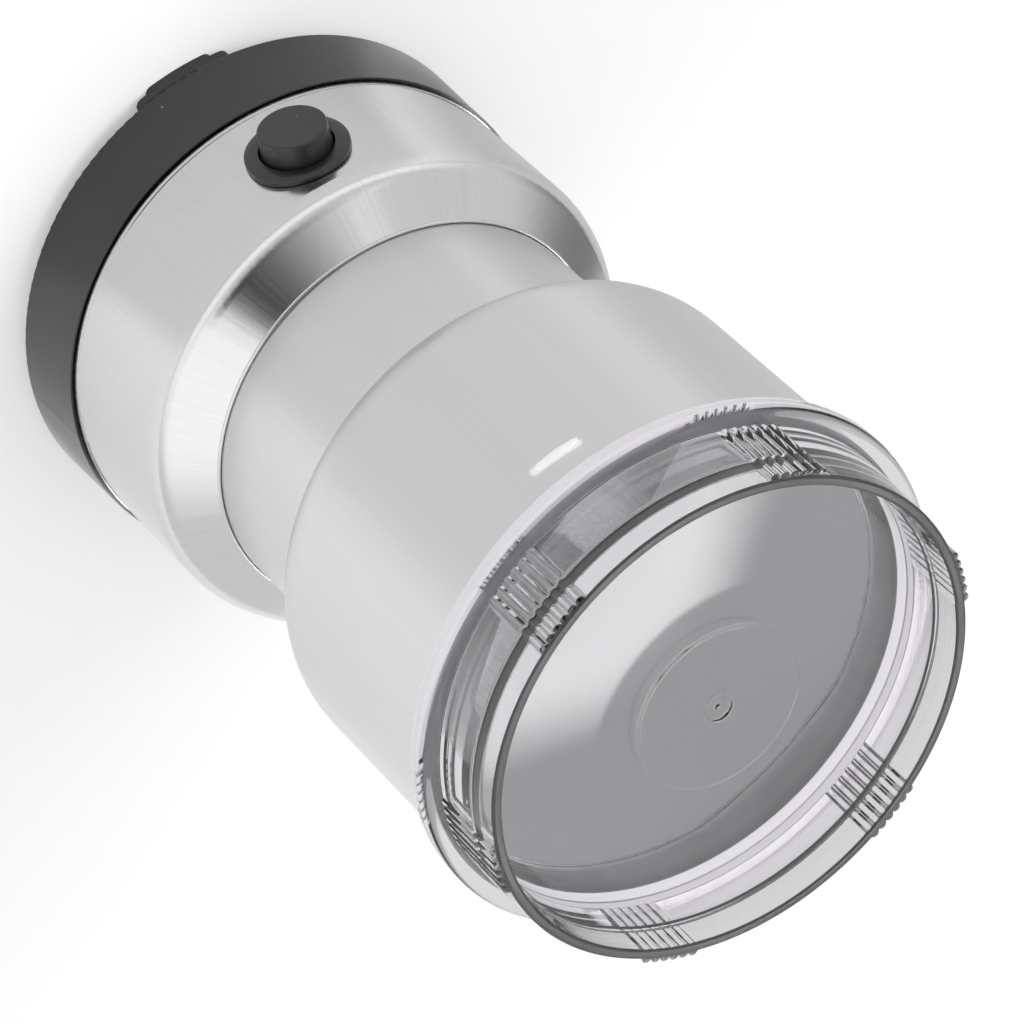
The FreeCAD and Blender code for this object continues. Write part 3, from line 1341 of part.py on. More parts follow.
def make_switch():
    """The push switch: flanged bezel, cap, spring, body, terminals and its nut."""
    # flange with a saddle back that fits the round shell
    flange = new_body("bezel_flange")
    revolve(flange, "flange", [
        ("bezel_bore", "nut_front"), ("bezel_radius", "nut_front"),
        ("bezel_radius", "bezel_edge_level", "bezel_crown", 1), ("bezel_land_radius", "bezel_face"),
        ("bezel_bore", "bezel_face"),
    ])
    soften(flange, "bezel_rim", "bezel_round",
           lambda edge: hoop(edge, "bezel_radius", "bezel_edge_level"))
    shell = document.addObject("Part::Cylinder", "bezel_saddle")
    shell.setExpression("Radius", cell("bezel_seat"))
    shell.setExpression("Height", "sizes.bezel_radius * 4")
    shell.Placement = FreeCAD.Placement(
        FreeCAD.Vector(0, 2 * size("bezel_radius"), 0), FreeCAD.Rotation(FreeCAD.Vector(1, 0, 0), 90)
    )
    shell.setExpression("Placement.Base.y", "sizes.bezel_radius * 2")
    saddle = document.addObject("Part::Cut", "bezel_saddled")
    saddle.Base, saddle.Tool = flange, shell
    barrel = new_body("bezel_barrel")
    revolve(barrel, "barrel", [
        ("web_hole", "web_under"), ("bezel_bore", "web_under"), ("bezel_bore", "bezel_end"),
        ("bezel_barrel", "bezel_end"), ("bezel_barrel", "bezel_edge_level"),
        ("bezel_bore", "bezel_edge_level"), ("bezel_bore", "web_top"), ("web_hole", "web_top"),
    ])
    bezel = document.addObject("Part::Fuse", "bezel_whole")
    bezel.Base, bezel.Tool = saddle, barrel
    document.recompute()
    face_front(bezel)
    keep(bezel, "switch_bezel")

    body = new_body("button_cap")
    revolve(body, "cap", [
        ("zero", "stem_end"), ("stem_radius", "stem_end"), ("stem_radius", "cap_under"),
        ("button_radius", "cap_under"), ("button_face_radius", "button_reach"),
        ("zero", "button_reach"),
    ])
    soften(body, "cap_edge", "button_round",
           lambda edge: hoop(edge, "button_face_radius", "button_reach"))
    face_front(body)
    keep(body, "button_cap")

    spring = document.addObject("Part::Feature", "cap_spring")
    spring.Shape = coil(
        size("spring_radius"), size("spring_wire"), int(size("spring_turns")),
        size("spring_foot"), size("spring_head"),
    )
    face_front(spring)
    keep(spring, "button_spring")

    nut = hexagon("ring_nut", "switch_nut_flats", "nut_back", "switch_nut_height", "switch_hole")
    face_front(nut)
    keep(nut, "switch_nut")

    body = new_body("switch_body")
    case = new_sketch(body, "case_outline", "XY_Plane", "switch_back")
    rectangle(case, "-switch_half_width", "-switch_half_height", "switch_half_width", "switch_half_height")
    pad(body, "case", case, "switch_depth")
    face_front(body)
    keep(body, "switch_body")

    tabs = []
    for side in (1, -1):
        tab = document.addObject("Part::Box", "terminal_tab")
        tab.setExpression("Length", cell("terminal_sheet"))
        tab.setExpression("Width", cell("terminal_length"))
        tab.setExpression("Height", "sizes.terminal_half * 2")
        tab.setExpression("Placement.Base.x", f"{side} * sizes.terminal_offset - sizes.terminal_sheet / 2")
        tab.setExpression("Placement.Base.y", "-sizes.switch_half_height - sizes.terminal_length")
        tab.setExpression("Placement.Base.z", "sizes.terminal_middle - sizes.terminal_half")
        tabs.append(tab)
    pair = group("switch_terminals", tabs)
    face_front(pair)
    keep(pair, "switch_terminals")


def check_everything():
    """Stop on any failed object, missing shape or invalid solid."""
    document.recompute()
    for thing in document.Objects:
        if "Invalid" in thing.State or "Error" in thing.State:
            raise RuntimeError(f"{thing.Name} failed: {thing.getStatusString()}")
    for thing in sub_parts:
        shape = thing.Shape
        if shape.isNull() or not shape.isValid() or not shape.Solids:
            raise RuntimeError(f"{thing.Label} has no valid solid")


def write_parts():
    """Write each sub-part to its own file, named after its label."""
    os.makedirs("parts", exist_ok=True)
    for thing in sub_parts:
        thing.Shape.exportStep(f"parts/{thing.Label}.step")


fill_sheet()
make_feet()
make_base()
make_base_screws()
make_lower_shell()
make_upper_shell()
make_bowl()
make_bowl_clamp()
make_carrier()
make_lid()
make_brackets()
make_stator()
make_armature()
make_motor_bolts()
make_brushes()
make_blade()
make_switch()
check_everything()
write_parts()
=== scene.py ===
"""Looks of the electric spice grinder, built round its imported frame.

Lengths are in metres in the row frame: +Z up, the rubber feet on z = 0 and the push button
towards -Y. The grinder's own axis stands a little behind the row's origin.
"""

import logging
import math
from dataclasses import dataclass
from enum import Enum
from typing import Iterable, Sequence

import bmesh
import bpy
from mathutils import Matrix, Vector


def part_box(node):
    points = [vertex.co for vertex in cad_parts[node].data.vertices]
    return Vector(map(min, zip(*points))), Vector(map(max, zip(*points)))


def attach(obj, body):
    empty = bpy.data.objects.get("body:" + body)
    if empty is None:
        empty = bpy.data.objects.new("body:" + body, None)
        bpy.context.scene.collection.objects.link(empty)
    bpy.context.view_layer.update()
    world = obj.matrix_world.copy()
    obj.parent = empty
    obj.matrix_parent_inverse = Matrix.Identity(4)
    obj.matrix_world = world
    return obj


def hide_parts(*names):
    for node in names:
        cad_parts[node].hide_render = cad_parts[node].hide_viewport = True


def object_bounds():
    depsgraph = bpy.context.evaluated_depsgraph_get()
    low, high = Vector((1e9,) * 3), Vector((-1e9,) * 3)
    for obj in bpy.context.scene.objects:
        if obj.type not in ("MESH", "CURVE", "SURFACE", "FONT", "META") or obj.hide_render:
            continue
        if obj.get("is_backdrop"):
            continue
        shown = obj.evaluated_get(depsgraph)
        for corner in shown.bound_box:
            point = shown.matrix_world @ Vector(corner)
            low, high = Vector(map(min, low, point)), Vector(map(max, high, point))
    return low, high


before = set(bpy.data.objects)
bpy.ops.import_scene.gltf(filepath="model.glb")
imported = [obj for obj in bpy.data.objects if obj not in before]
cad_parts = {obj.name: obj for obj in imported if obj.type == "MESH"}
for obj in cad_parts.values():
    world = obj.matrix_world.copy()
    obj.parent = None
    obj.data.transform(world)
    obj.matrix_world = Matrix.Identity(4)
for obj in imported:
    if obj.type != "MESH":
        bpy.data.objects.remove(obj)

LOG = logging.getLogger("spice_grinder")
MM = 0.001

Colour = tuple[float, float, float]
Link = bpy.types.NodeSocket


class Rides(Enum):
    """The bodies of the frame that the pieces made here move with."""

    HOUSING = "housing"
    LID = "lid"


class Slot(Enum):
    """The record's material slots."""

    RUBBER = "rubber"
    BASE_PLASTIC = "base_plastic"
    BUTTON_PLASTIC = "button_plastic"
    BRUSHED_STEEL = "brushed_steel"
    SATIN_STEEL = "satin_steel"
    BLADE_STEEL = "blade_steel"
    CLEAR_PLASTIC = "clear_plastic"
    PLATED_STEEL = "plated_steel"
    DARK_PLASTIC = "dark_plastic"
    CORE_IRON = "core_iron"
    BRACKET_METAL = "bracket_metal"
    COPPER = "copper"
    BRASS = "brass"
    CARBON = "carbon"


class Run(Enum):
    """Which way the fine lines of a brushed or turned surface run."""

    UPWARD = "upward"
    AROUND = "around"


# Writing node trees


class Graph:
    """A short way to add and join the nodes of one material, group or world."""

    def __init__(self, tree: bpy.types.NodeTree) -> None:
        """Keep the tree that the nodes go into."""
        self.tree = tree

    def add(self, kind: str, inputs: dict | None = None, **settings) -> bpy.types.Node:
        """Add one node.

        Args:
            kind: the node's type, such as ShaderNodeMath.
            inputs: values or links for its inputs, by name or number.
            settings: the node's own options.

        Returns:
            The new node.
        """
        node = self.tree.nodes.new(kind)
        for name, value in settings.items():
            setattr(node, name, value)
        for name, value in (inputs or {}).items():
            if isinstance(value, Link):
                self.tree.links.new(value, node.inputs[name])
            else:
                node.inputs[name].default_value = value
        return node

    def math(self, operation: str, *values: float | Link) -> Link:
        """Return the result of one Math node over these values."""
        return self.add("ShaderNodeMath", dict(enumerate(values)), operation=operation).outputs[0]

    def vector(self, x: float | Link, y: float | Link, z: float | Link) -> Link:
        """Return a vector joined from three numbers."""
        return self.add("ShaderNodeCombineXYZ", {"X": x, "Y": y, "Z": z}).outputs[0]

    def noise(self, vector: Link, scale: float | Link, detail: float = 2.0, rough: float = 0.5) -> Link:
        """Return a noise value, about 0.5 on the whole, at a vector."""
        made = self.add("ShaderNodeTexNoise", {"Vector": vector, "Scale": scale, "Detail": detail,
                                               "Roughness": rough})
        return made.outputs["Fac"]

    def remap(self, value: Link, low: float | Link, high: float | Link,
              to_low: float | Link = 0.0, to_high: float | Link = 1.0) -> Link:
        """Return a value moved smoothly from one range to another and clamped."""
        made = self.add("ShaderNodeMapRange", {"Value": value, "From Min": low, "From Max": high,
                                               "To Min": to_low, "To Max": to_high},
                        interpolation_type="SMOOTHSTEP")
        return made.outputs["Result"]

    def blend(self, share: float | Link, first: Colour | Link, second: Colour | Link) -> Link:
        """Return a colour between two."""
        made = self.add("ShaderNodeMix", {"Factor": share}, data_type="RGBA")
        for socket, value in zip((made.inputs[6], made.inputs[7]), (first, second)):
            if isinstance(value, Link):
                self.tree.links.new(value, socket)
            else:
                socket.default_value = (*value, 1.0)
        return made.outputs[2]

    def mix(self, share: float | Link, first: float | Link, second: float | Link) -> Link:
        """Return a number between two."""
        return self.add("ShaderNodeMix", {"Factor": share, 2: first, 3: second}, data_type="FLOAT").outputs[0]

    def bump(self, height: Link, depth: float) -> Link:
        """Return a normal raised by a height map, whose full step is depth metres."""
        return self.add("ShaderNodeBump", {"Height": height, "Distance": depth, "Strength": 1.0}).outputs["Normal"]

    def place(self) -> Link:
        """Return the point on the piece at rest, in the row frame."""
        return self.add("ShaderNodeTexCoord").outputs["Object"]

    def group(self, name: str, inputs: dict) -> bpy.types.Node:
        """Add one of the shared effects with its own values."""
        node = self.add("ShaderNodeGroup", node_tree=Effects.get(name))
        for key, value in inputs.items():
            if isinstance(value, Link):
                self.tree.links.new(value, node.inputs[key])
            else:
                node.inputs[key].default_value = value
        return node


class Effects:
    """The shader node groups that several finishes share, each built when first asked for."""

    made: dict[str, bpy.types.NodeTree] = {}

    @classmethod
    def get(cls, name: str) -> bpy.types.NodeTree:
        """Return the group of that name, building it once."""
        if name not in cls.made:
            cls.made[name] = getattr(cls, "build_" + name)()
        return cls.made[name]

    @staticmethod
    def start(name: str, inputs: dict[str, tuple[str, float]], outputs: dict[str, str]
              ) -> tuple[bpy.types.NodeTree, Graph, bpy.types.Node, bpy.types.Node]:
        """Open a new group.

        Args:
            name: what the group is called.
            inputs: for each input, its kind and its usual value.
            outputs: for each output, its kind.

        Returns:
            The tree, its graph, its input node and its output node.
        """
        tree = bpy.data.node_groups.new(name, "ShaderNodeTree")
        for key, (kind, value) in inputs.items():
            socket = tree.interface.new_socket(key, in_out="INPUT", socket_type="NodeSocket" + kind)
            if kind == "Float":
                socket.default_value = value
        for key, kind in outputs.items():
            tree.interface.new_socket(key, in_out="OUTPUT", socket_type="NodeSocket" + kind)
        graph = Graph(tree)
        return tree, graph, graph.add("NodeGroupInput"), graph.add("NodeGroupOutput")

    @classmethod
    def build_polar(cls) -> bpy.types.NodeTree:
        """Points counted about the grinder's axis: a unit rim vector, the radius and the height."""
        tree, graph, source, result = cls.start(
            "polar", {"Vector": ("Vector", 0.0)}, {"Rim": "Vector", "Radius": "Float", "Height": "Float"})
        parts = graph.add("ShaderNodeSeparateXYZ", {0: source.outputs["Vector"]})
        across, height = parts.outputs["X"], parts.outputs["Z"]
        away = graph.math("SUBTRACT", parts.outputs["Y"], Grinder.axis_y())
        squares = graph.math("ADD", graph.math("MULTIPLY", across, across), graph.math("MULTIPLY", away, away))
        radius = graph.math("SQRT", graph.math("MAXIMUM", squares, 1e-8))
        rim = graph.vector(graph.math("DIVIDE", across, radius), graph.math("DIVIDE", away, radius), 0.0)
        for key, value in (("Rim", rim), ("Radius", radius), ("Height", height)):
            tree.links.new(value, result.inputs[key])
        return tree

    @classmethod
    def build_sector(cls) -> bpy.types.NodeTree:
        """The share of a direction that lies between two bearings about the Z axis, softly edged."""
        tree, graph, source, result = cls.start(
            "sector", {"Vector": ("Vector", 0.0), "First": ("Float", -2.0), "Last": ("Float", -1.0),
                       "Edge": ("Float", 0.05)},
            {"Share": "Float"})
        parts = graph.add("ShaderNodeSeparateXYZ", {0: source.outputs["Vector"]})
        flat = graph.vector(parts.outputs["X"], parts.outputs["Y"], 0.0)
        way = graph.add("ShaderNodeVectorMath", {0: flat}, operation="NORMALIZE").outputs[0]
        edge = source.outputs["Edge"]
        shares = []
        for key, quarter in (("First", math.pi / 2.0), ("Last", -math.pi / 2.0)):
            bearing = graph.math("ADD", source.outputs[key], quarter)
            inward = graph.vector(graph.math("COSINE", bearing), graph.math("SINE", bearing), 0.0)
            along = graph.add("ShaderNodeVectorMath", {0: way, 1: inward}, operation="DOT_PRODUCT").outputs["Value"]
            shares.append(graph.remap(along, graph.math("MULTIPLY", edge, -1.0), edge))
        tree.links.new(graph.math("MULTIPLY", *shares), result.inputs["Share"])
        return tree

    @classmethod
    def build_streaks(cls) -> bpy.types.NodeTree:
        """Fine drawn-out lines: noise that is dense across them and long along them."""
        tree, graph, source, result = cls.start(
            "streaks", {"Vector": ("Vector", 0.0), "Count": ("Float", 300.0), "Length": ("Float", 0.03),
                        "Upward": ("Float", 1.0)},
            {"Height": "Float", "Shade": "Float"})
        polar = graph.group("polar", {"Vector": source.outputs["Vector"]})
        rim, height, radius = (polar.outputs[key] for key in ("Rim", "Height", "Radius"))
        upward = source.outputs["Upward"]
        count = source.outputs["Count"]
        spread = graph.add("ShaderNodeVectorMath", {0: rim, "Scale": count}, operation="SCALE").outputs[0]
        along = graph.math("DIVIDE", graph.math("ADD", height, radius), source.outputs["Length"])
        upright = graph.add("ShaderNodeVectorMath", {0: spread, 1: graph.vector(0.0, 0.0, along)},
                            operation="ADD").outputs[0]
        dense = graph.math("MULTIPLY", graph.math("SUBTRACT", radius, height), graph.math("MULTIPLY", count, 20.0))
        slow = graph.add("ShaderNodeVectorMath", {0: rim, "Scale": 3.0}, operation="SCALE").outputs[0]
        around = graph.add("ShaderNodeVectorMath", {0: slow, 1: graph.vector(0.0, 0.0, dense)},
                           operation="ADD").outputs[0]
        chosen = graph.add("ShaderNodeMix", {"Factor": upward, 4: around, 5: upright},
                           data_type="VECTOR").outputs[1]
        fine = graph.noise(chosen, 1.0, 3.0, 0.7)
        broad = graph.noise(chosen, 0.12, 2.0, 0.6)
        tree.links.new(fine, result.inputs["Height"])
        tree.links.new(graph.math("ADD", graph.math("MULTIPLY", fine, 0.5),
                                  graph.math("MULTIPLY", broad, 0.5)), result.inputs["Shade"])
        return tree

    @classmethod
    def build_moulding(cls) -> bpy.types.NodeTree:
        """The fine skin of a moulded piece: a tight grain over a slow unevenness."""
        tree, graph, source, result = cls.start(
            "moulding", {"Vector": ("Vector", 0.0), "Grain": ("Float", 4000.0), "Swell": ("Float", 60.0)},
            {"Grain": "Float", "Swell": "Float"})
        tree.links.new(graph.noise(source.outputs["Vector"], source.outputs["Grain"], 2.0, 0.6),
                       result.inputs["Grain"])
        tree.links.new(graph.noise(source.outputs["Vector"], source.outputs["Swell"], 2.0, 0.5),
                       result.inputs["Swell"])
        return tree

    @classmethod
    def build_specks(cls) -> bpy.types.NodeTree:
        """Scattered specks of dust or pits, as a mask of small round spots."""
        tree, graph, source, result = cls.start(
            "specks", {"Vector": ("Vector", 0.0), "Density": ("Float", 300.0), "Size": ("Float", 0.12),
                       "Share": ("Float", 0.3)},
            {"Mask": "Float"})
        cells = graph.add("ShaderNodeTexVoronoi", {"Vector": source.outputs["Vector"],
                                                   "Scale": source.outputs["Density"]})
        pick = graph.add("ShaderNodeSeparateColor", {0: cells.outputs["Color"]})
        kept = graph.math("LESS_THAN", pick.outputs[0], source.outputs["Share"])
        size = graph.math("MULTIPLY", source.outputs["Size"], graph.math("ADD", 0.4, pick.outputs[1]))
        spot = graph.remap(cells.outputs["Distance"], size, graph.math("MULTIPLY", size, 0.5))
        tree.links.new(graph.math("MULTIPLY", kept, spot), result.inputs["Mask"])
        return tree


# Finishes


def new_material(name: str) -> tuple[bpy.types.Material, Graph, bpy.types.Node]:
    """Start a material.

    Args:
        name: the finish's name.

    Returns:
        The material, its graph and its Principled node, already joined to the output.
    """
    material = bpy.data.materials.new(name)
    material.use_nodes = True
    material.node_tree.nodes.clear()
    graph = Graph(material.node_tree)
    shader = graph.add("ShaderNodeBsdfPrincipled")
    graph.add("ShaderNodeOutputMaterial", {"Surface": shader.outputs[0]})
    return material, graph, shader


def wire(graph: Graph, shader: bpy.types.Node, **values: float | Colour | Link) -> None:
    """Set or join the Principled node's sockets, by names with underscores for spaces."""
    for name, value in values.items():
        socket = shader.inputs[name.replace("_", " ")]
        if isinstance(value, Link):
            graph.tree.links.new(value, socket)
        elif isinstance(value, tuple):
            socket.default_value = (*value, 1.0)
        else:
            socket.default_value = value


def height_of(graph: Graph, place: Link) -> Link:
    """Return the height of a point."""
    return graph.add("ShaderNodeSeparateXYZ", {0: place}).outputs["Z"]


@dataclass(frozen=True)
class PaleBar:
    """The soft pale bar without text below the cup's rim: a pale mark, with a painted glow on it that stands in for
    its highlight.
    """

    bearing: float = math.radians(-79.0)
    level: float = 140.8 * MM
    half_length: float = 4.1 * MM
    half_height: float = 1.5 * MM
    core: float = 0.2
    slope: float = 0.06
    colour: Colour = (0.95, 0.95, 0.95)
    # painted glow: emission that makes the bar shine as a painted highlight
    glow: Colour = (0.18, 0.18, 0.18)
    roughness: float = 0.5

    def mask(self, graph: Graph, place: Link) -> Link:
        """Return how much of the bar covers a point of the cup's wall."""
        centre = graph.vector(0.0, Grinder.axis_y(), self.level)
        offset = graph.add("ShaderNodeVectorMath", {0: place, 1: centre}, operation="SUBTRACT").outputs[0]
        shares = []
        for way in ((-math.sin(self.bearing), math.cos(self.bearing), 0.0), (0.0, 0.0, 1.0),
                    (math.cos(self.bearing), math.sin(self.bearing), 0.0)):
            shares.append(graph.add("ShaderNodeVectorMath", {0: offset, 1: way},
                                    operation="DOT_PRODUCT").outputs["Value"])
        along, up, outward = shares
        up = graph.math("MULTIPLY_ADD", along, self.slope, up)
        beyond = graph.math("MAXIMUM", graph.math("SUBTRACT", graph.math("ABSOLUTE", along), self.half_length), 0.0)
        away = graph.math("SQRT", graph.math("ADD", graph.math("MULTIPLY", beyond, beyond),
                                             graph.math("MULTIPLY", up, up)))
        bar = graph.remap(away, self.half_height, self.half_height * self.core)
        return graph.math("MULTIPLY", bar, graph.math("GREATER_THAN", outward, 0.0))


@dataclass(frozen=True)
class Steel:
    """Stainless sheet with fine lines, or a satin that has almost none, with optional painted shade below a rim and
    in a crease, and a pale bar with a painted glow.
    """

    name: str
    colour: Colour = (0.67, 0.67, 0.675)
    roughness: float = 0.17
    roughness_swing: float = 0.03
    streak_count: float = 420.0
    streak_length: float = 0.012
    streak_depth: float = 0.000003
    shade_swing: float = 0.05
    run: Run = Run.UPWARD
    anisotropy: float = 0.4
    # painted shade: a thin dark line along the crease at this height
    crease_shade_level: float = 0.0
    crease_shade_colour: Colour = (0.30, 0.30, 0.31)
    # the pale bar: its own pale colour, with an emission that is a painted glow
    pale_bar_with_glow: PaleBar | None = None
    metallic: float = 1.0
    # painted shade: a darker band over the last few millimetres below this height
    painted_shade_level: float = 0.0
    painted_shade_depth: float = 3.0 * MM
    painted_shade_colour: Colour = (0.52, 0.52, 0.525)

    def make(self) -> bpy.types.Material:
        """Return the finish as a material."""
        material, graph, shader = new_material(self.name)
        place = graph.place()
        streaks = graph.group("streaks", {"Vector": place, "Count": self.streak_count,
                                          "Length": self.streak_length,
                                          "Upward": 1.0 if self.run is Run.UPWARD else 0.0})
        shade = streaks.outputs["Shade"]
        dark = tuple(part * (1.0 - self.shade_swing) for part in self.colour)
        tone = graph.blend(graph.remap(shade, 0.3, 0.7), dark, self.colour)
        rough = graph.remap(shade, 0.3, 0.7, self.roughness + self.roughness_swing,
                            self.roughness - self.roughness_swing)
        metal = self.metallic
        # painted shade: the tone darkens towards a rim's height
        if self.painted_shade_level:
            near = graph.remap(height_of(graph, place), self.painted_shade_level - self.painted_shade_depth, self.painted_shade_level)
            tone = graph.blend(near, tone, self.painted_shade_colour)
        # painted shade: a thin dark line in the crease at one height
        if self.crease_shade_level:
            off = graph.math("ABSOLUTE", graph.math("SUBTRACT", height_of(graph, place), self.crease_shade_level))
            tone = graph.blend(graph.remap(off, 0.30 * MM, 0.08 * MM), tone, self.crease_shade_colour)
        # pale bar: its own pale colour, plus an emission that is a painted glow standing in for its highlight
        if self.pale_bar_with_glow:
            bar = self.pale_bar_with_glow.mask(graph, place)
            tone = graph.blend(bar, tone, self.pale_bar_with_glow.colour)
            rough = graph.mix(bar, rough, self.pale_bar_with_glow.roughness)
            metal = graph.math("SUBTRACT", self.metallic, bar)
            wire(graph, shader,
                 Emission_Color=graph.blend(bar, (0.0, 0.0, 0.0), self.pale_bar_with_glow.glow),
                 Emission_Strength=1.0)
        wire(graph, shader,
             Base_Color=tone,
             Roughness=rough,
             Metallic=metal,
             Anisotropic=self.anisotropy,
             Normal=graph.bump(streaks.outputs["Height"], self.streak_depth))
        tangent = graph.add("ShaderNodeTangent", direction_type="RADIAL", axis="Z")
        graph.tree.links.new(tangent.outputs[0], shader.inputs["Tangent"])
        return material


@dataclass(frozen=True)
class Moulding:
    """Opaque moulded plastic or rubber with a fine skin and a little dust."""

    name: str
    colour: Colour
    roughness: float = 0.42
    grain: float = 5200.0
    grain_depth: float = 0.00002
    dust: float = 0.04
    dust_colour: Colour = (0.45, 0.45, 0.46)
    ior: float = 1.5

    def make(self) -> bpy.types.Material:
        """Return the finish as a material."""
        material, graph, shader = new_material(self.name)
        place = graph.place()
        skin = graph.group("moulding", {"Vector": place, "Grain": self.grain, "Swell": 45.0})
        specks = graph.group("specks", {"Vector": place, "Density": 420.0, "Size": 0.10, "Share": self.dust})
        swell = skin.outputs["Swell"]
        pale = tuple(part * 1.25 + 0.004 for part in self.colour)
        body = graph.blend(graph.remap(swell, 0.35, 0.65), self.colour, pale)
        dusty = graph.math("MULTIPLY", specks.outputs["Mask"], 0.5)
        wire(graph, shader,
             Base_Color=graph.blend(dusty, body, self.dust_colour),
             Roughness=graph.remap(swell, 0.3, 0.7, self.roughness - 0.05, self.roughness + 0.06),
             IOR=self.ior,
             Normal=graph.bump(skin.outputs["Grain"], self.grain_depth))
        return material


@dataclass(frozen=True)
class ClearMoulding:
    """Clear moulded plastic with a faint lavender cast, the top of its rim painted dark grey as painted shade."""

    name: str
    colour: Colour = (0.985, 0.975, 0.99)
    ior: float = 1.55
    roughness: float = 0.02
    inner_colour: Colour = (0.50, 0.46, 0.52)
    inner_density: float = 26.0
    # painted shade: the top of the rim is painted dark grey for the dark band that refraction gives there
    rim_level: float = 168.2 * MM
    rim_shade_depth: float = 0.5 * MM
    rim_painted_shade: Colour = (0.11, 0.105, 0.112)
    rim_roughness: float = 0.30
    swell_depth: float = 0.00002

    def make(self) -> bpy.types.Material:
        """Return the finish as a material."""
        material, graph, shader = new_material(self.name)
        place = graph.place()
        skin = graph.group("moulding", {"Vector": place, "Grain": 700.0, "Swell": 16.0})
        # painted shade: mask of the rim's top, painted dark grey
        rim = graph.remap(height_of(graph, place), self.rim_level - self.rim_shade_depth,
                          self.rim_level - self.rim_shade_depth * 0.7)
        wire(graph, shader,
             Base_Color=graph.blend(rim, self.colour, self.rim_painted_shade),
             Roughness=graph.mix(rim, self.roughness, self.rim_roughness),
             IOR=self.ior,
             Transmission_Weight=1.0,
             Normal=graph.bump(skin.outputs["Swell"], self.swell_depth))
        inside = graph.add("ShaderNodeVolumeAbsorption", {"Color": (*self.inner_colour, 1.0),
                                                          "Density": self.inner_density})
        graph.tree.links.new(inside.outputs[0], material.node_tree.nodes["Material Output"].inputs["Volume"])
        return material


@dataclass(frozen=True)
class BareMetal:
    """Plated, cast, stamped or wound metal inside the grinder."""

    name: str
    colour: Colour
    roughness: float = 0.35
    layer: float = 0.0
    metallic: float = 1.0

    def make(self) -> bpy.types.Material:
        """Return the finish as a material."""
        material, graph, shader = new_material(self.name)
        place = graph.place()
        skin = graph.group("moulding", {"Vector": place, "Grain": 1800.0, "Swell": 120.0})
        swell, height = skin.outputs["Swell"], skin.outputs["Grain"]
        if self.layer:
            parts = graph.add("ShaderNodeSeparateXYZ", {0: place})
            turns = graph.math("MULTIPLY", parts.outputs["Z"], 2.0 * math.pi / self.layer)
            height = graph.math("SINE", turns)
        dark = tuple(part * 0.72 for part in self.colour)
        wire(graph, shader,
             Base_Color=graph.blend(graph.remap(swell, 0.3, 0.7), dark, self.colour),
             Roughness=graph.remap(swell, 0.3, 0.7, self.roughness + 0.1, self.roughness - 0.05),
             Metallic=self.metallic,
             Normal=graph.bump(height, 0.00003))
        return material


@dataclass
class Finishes:
    """Every finish of the grinder, as materials made once."""

    def __post_init__(self) -> None:
        """Make one material for each slot of the record."""
        self.by_slot: dict[Slot, bpy.types.Material] = {
            Slot.RUBBER: Moulding("rubber_feet", (0.028, 0.028, 0.029), 0.62, 3200.0).make(),
            Slot.BASE_PLASTIC: Moulding("base_moulding", (0.008, 0.0082, 0.0086), 0.15, ior=1.58).make(),
            Slot.BUTTON_PLASTIC: Moulding("button_moulding", (0.012, 0.0122, 0.0128), 0.30, dust=0.10,
                                          ior=1.55).make(),
            Slot.BRUSHED_STEEL: Steel("brushed_shell").make(),
            # painted shade: a dark line in the crease at the waist and a darker band just under the lid's flange;
            # the pale bar's emission is a painted glow
            Slot.SATIN_STEEL: Steel("satin_shell", roughness=0.34, roughness_swing=0.03, streak_count=60.0,
                                    streak_length=0.05, streak_depth=0.000001, shade_swing=0.02,
                                    anisotropy=0.1, crease_shade_level=91.5 * MM, pale_bar_with_glow=PaleBar(),
                                    painted_shade_level=147.9 * MM, painted_shade_depth=0.5 * MM).make(),
            Slot.BLADE_STEEL: Steel("ground_blade", (0.66, 0.66, 0.67), roughness=0.26, roughness_swing=0.08,
                                    streak_count=90.0, streak_length=0.02, streak_depth=0.000004,
                                    shade_swing=0.12, run=Run.AROUND, anisotropy=0.3).make(),
            Slot.CLEAR_PLASTIC: ClearMoulding("clear_moulding").make(),
            Slot.PLATED_STEEL: BareMetal("zinc_plate", (0.62, 0.63, 0.64), 0.28).make(),
            Slot.DARK_PLASTIC: Moulding("inner_moulding", (0.06, 0.06, 0.063), 0.5).make(),
            Slot.CORE_IRON: BareMetal("core_stack", (0.30, 0.30, 0.31), 0.5, 0.5 * MM).make(),
            Slot.BRACKET_METAL: BareMetal("cast_bracket", (0.55, 0.55, 0.56), 0.45).make(),
            Slot.COPPER: BareMetal("enamelled_wire", (0.62, 0.26, 0.12), 0.3, 0.6 * MM).make(),
            Slot.BRASS: BareMetal("pressed_brass", (0.70, 0.52, 0.22), 0.3).make(),
            Slot.CARBON: BareMetal("pressed_carbon", (0.03, 0.03, 0.03), 0.5, metallic=0.0).make(),
        }
        self.by_node: dict[str, bpy.types.Material] = {
            # painted shade: the bowl's tone darkens towards its rim, which catches more light
            "grinding_bowl": Steel("turned_bowl", (0.95, 0.95, 0.955), roughness=0.44, roughness_swing=0.03,
                                   streak_count=60.0, streak_length=0.05, streak_depth=0.0000003,
                                   shade_swing=0.015, run=Run.AROUND, anisotropy=0.3, metallic=0.25,
                                   painted_shade_level=147.0 * MM).make(),
        }
        # painted shade: the dark sheet of the ring inside the lid's moulding
        self.weld = Moulding("shade_ring_sheet", (0.12, 0.118, 0.122), 0.5).make()

    def __getitem__(self, slot: Slot) -> bpy.types.Material:
        """Return the material of one slot."""
        return self.by_slot[slot]


# Meshes


def dress(node: str, finish: bpy.types.Material) -> bpy.types.Object:
    """Give a node of the frame its finish and return it."""
    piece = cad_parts[node]
    piece.data.materials.clear()
    piece.data.materials.append(finish)
    return piece


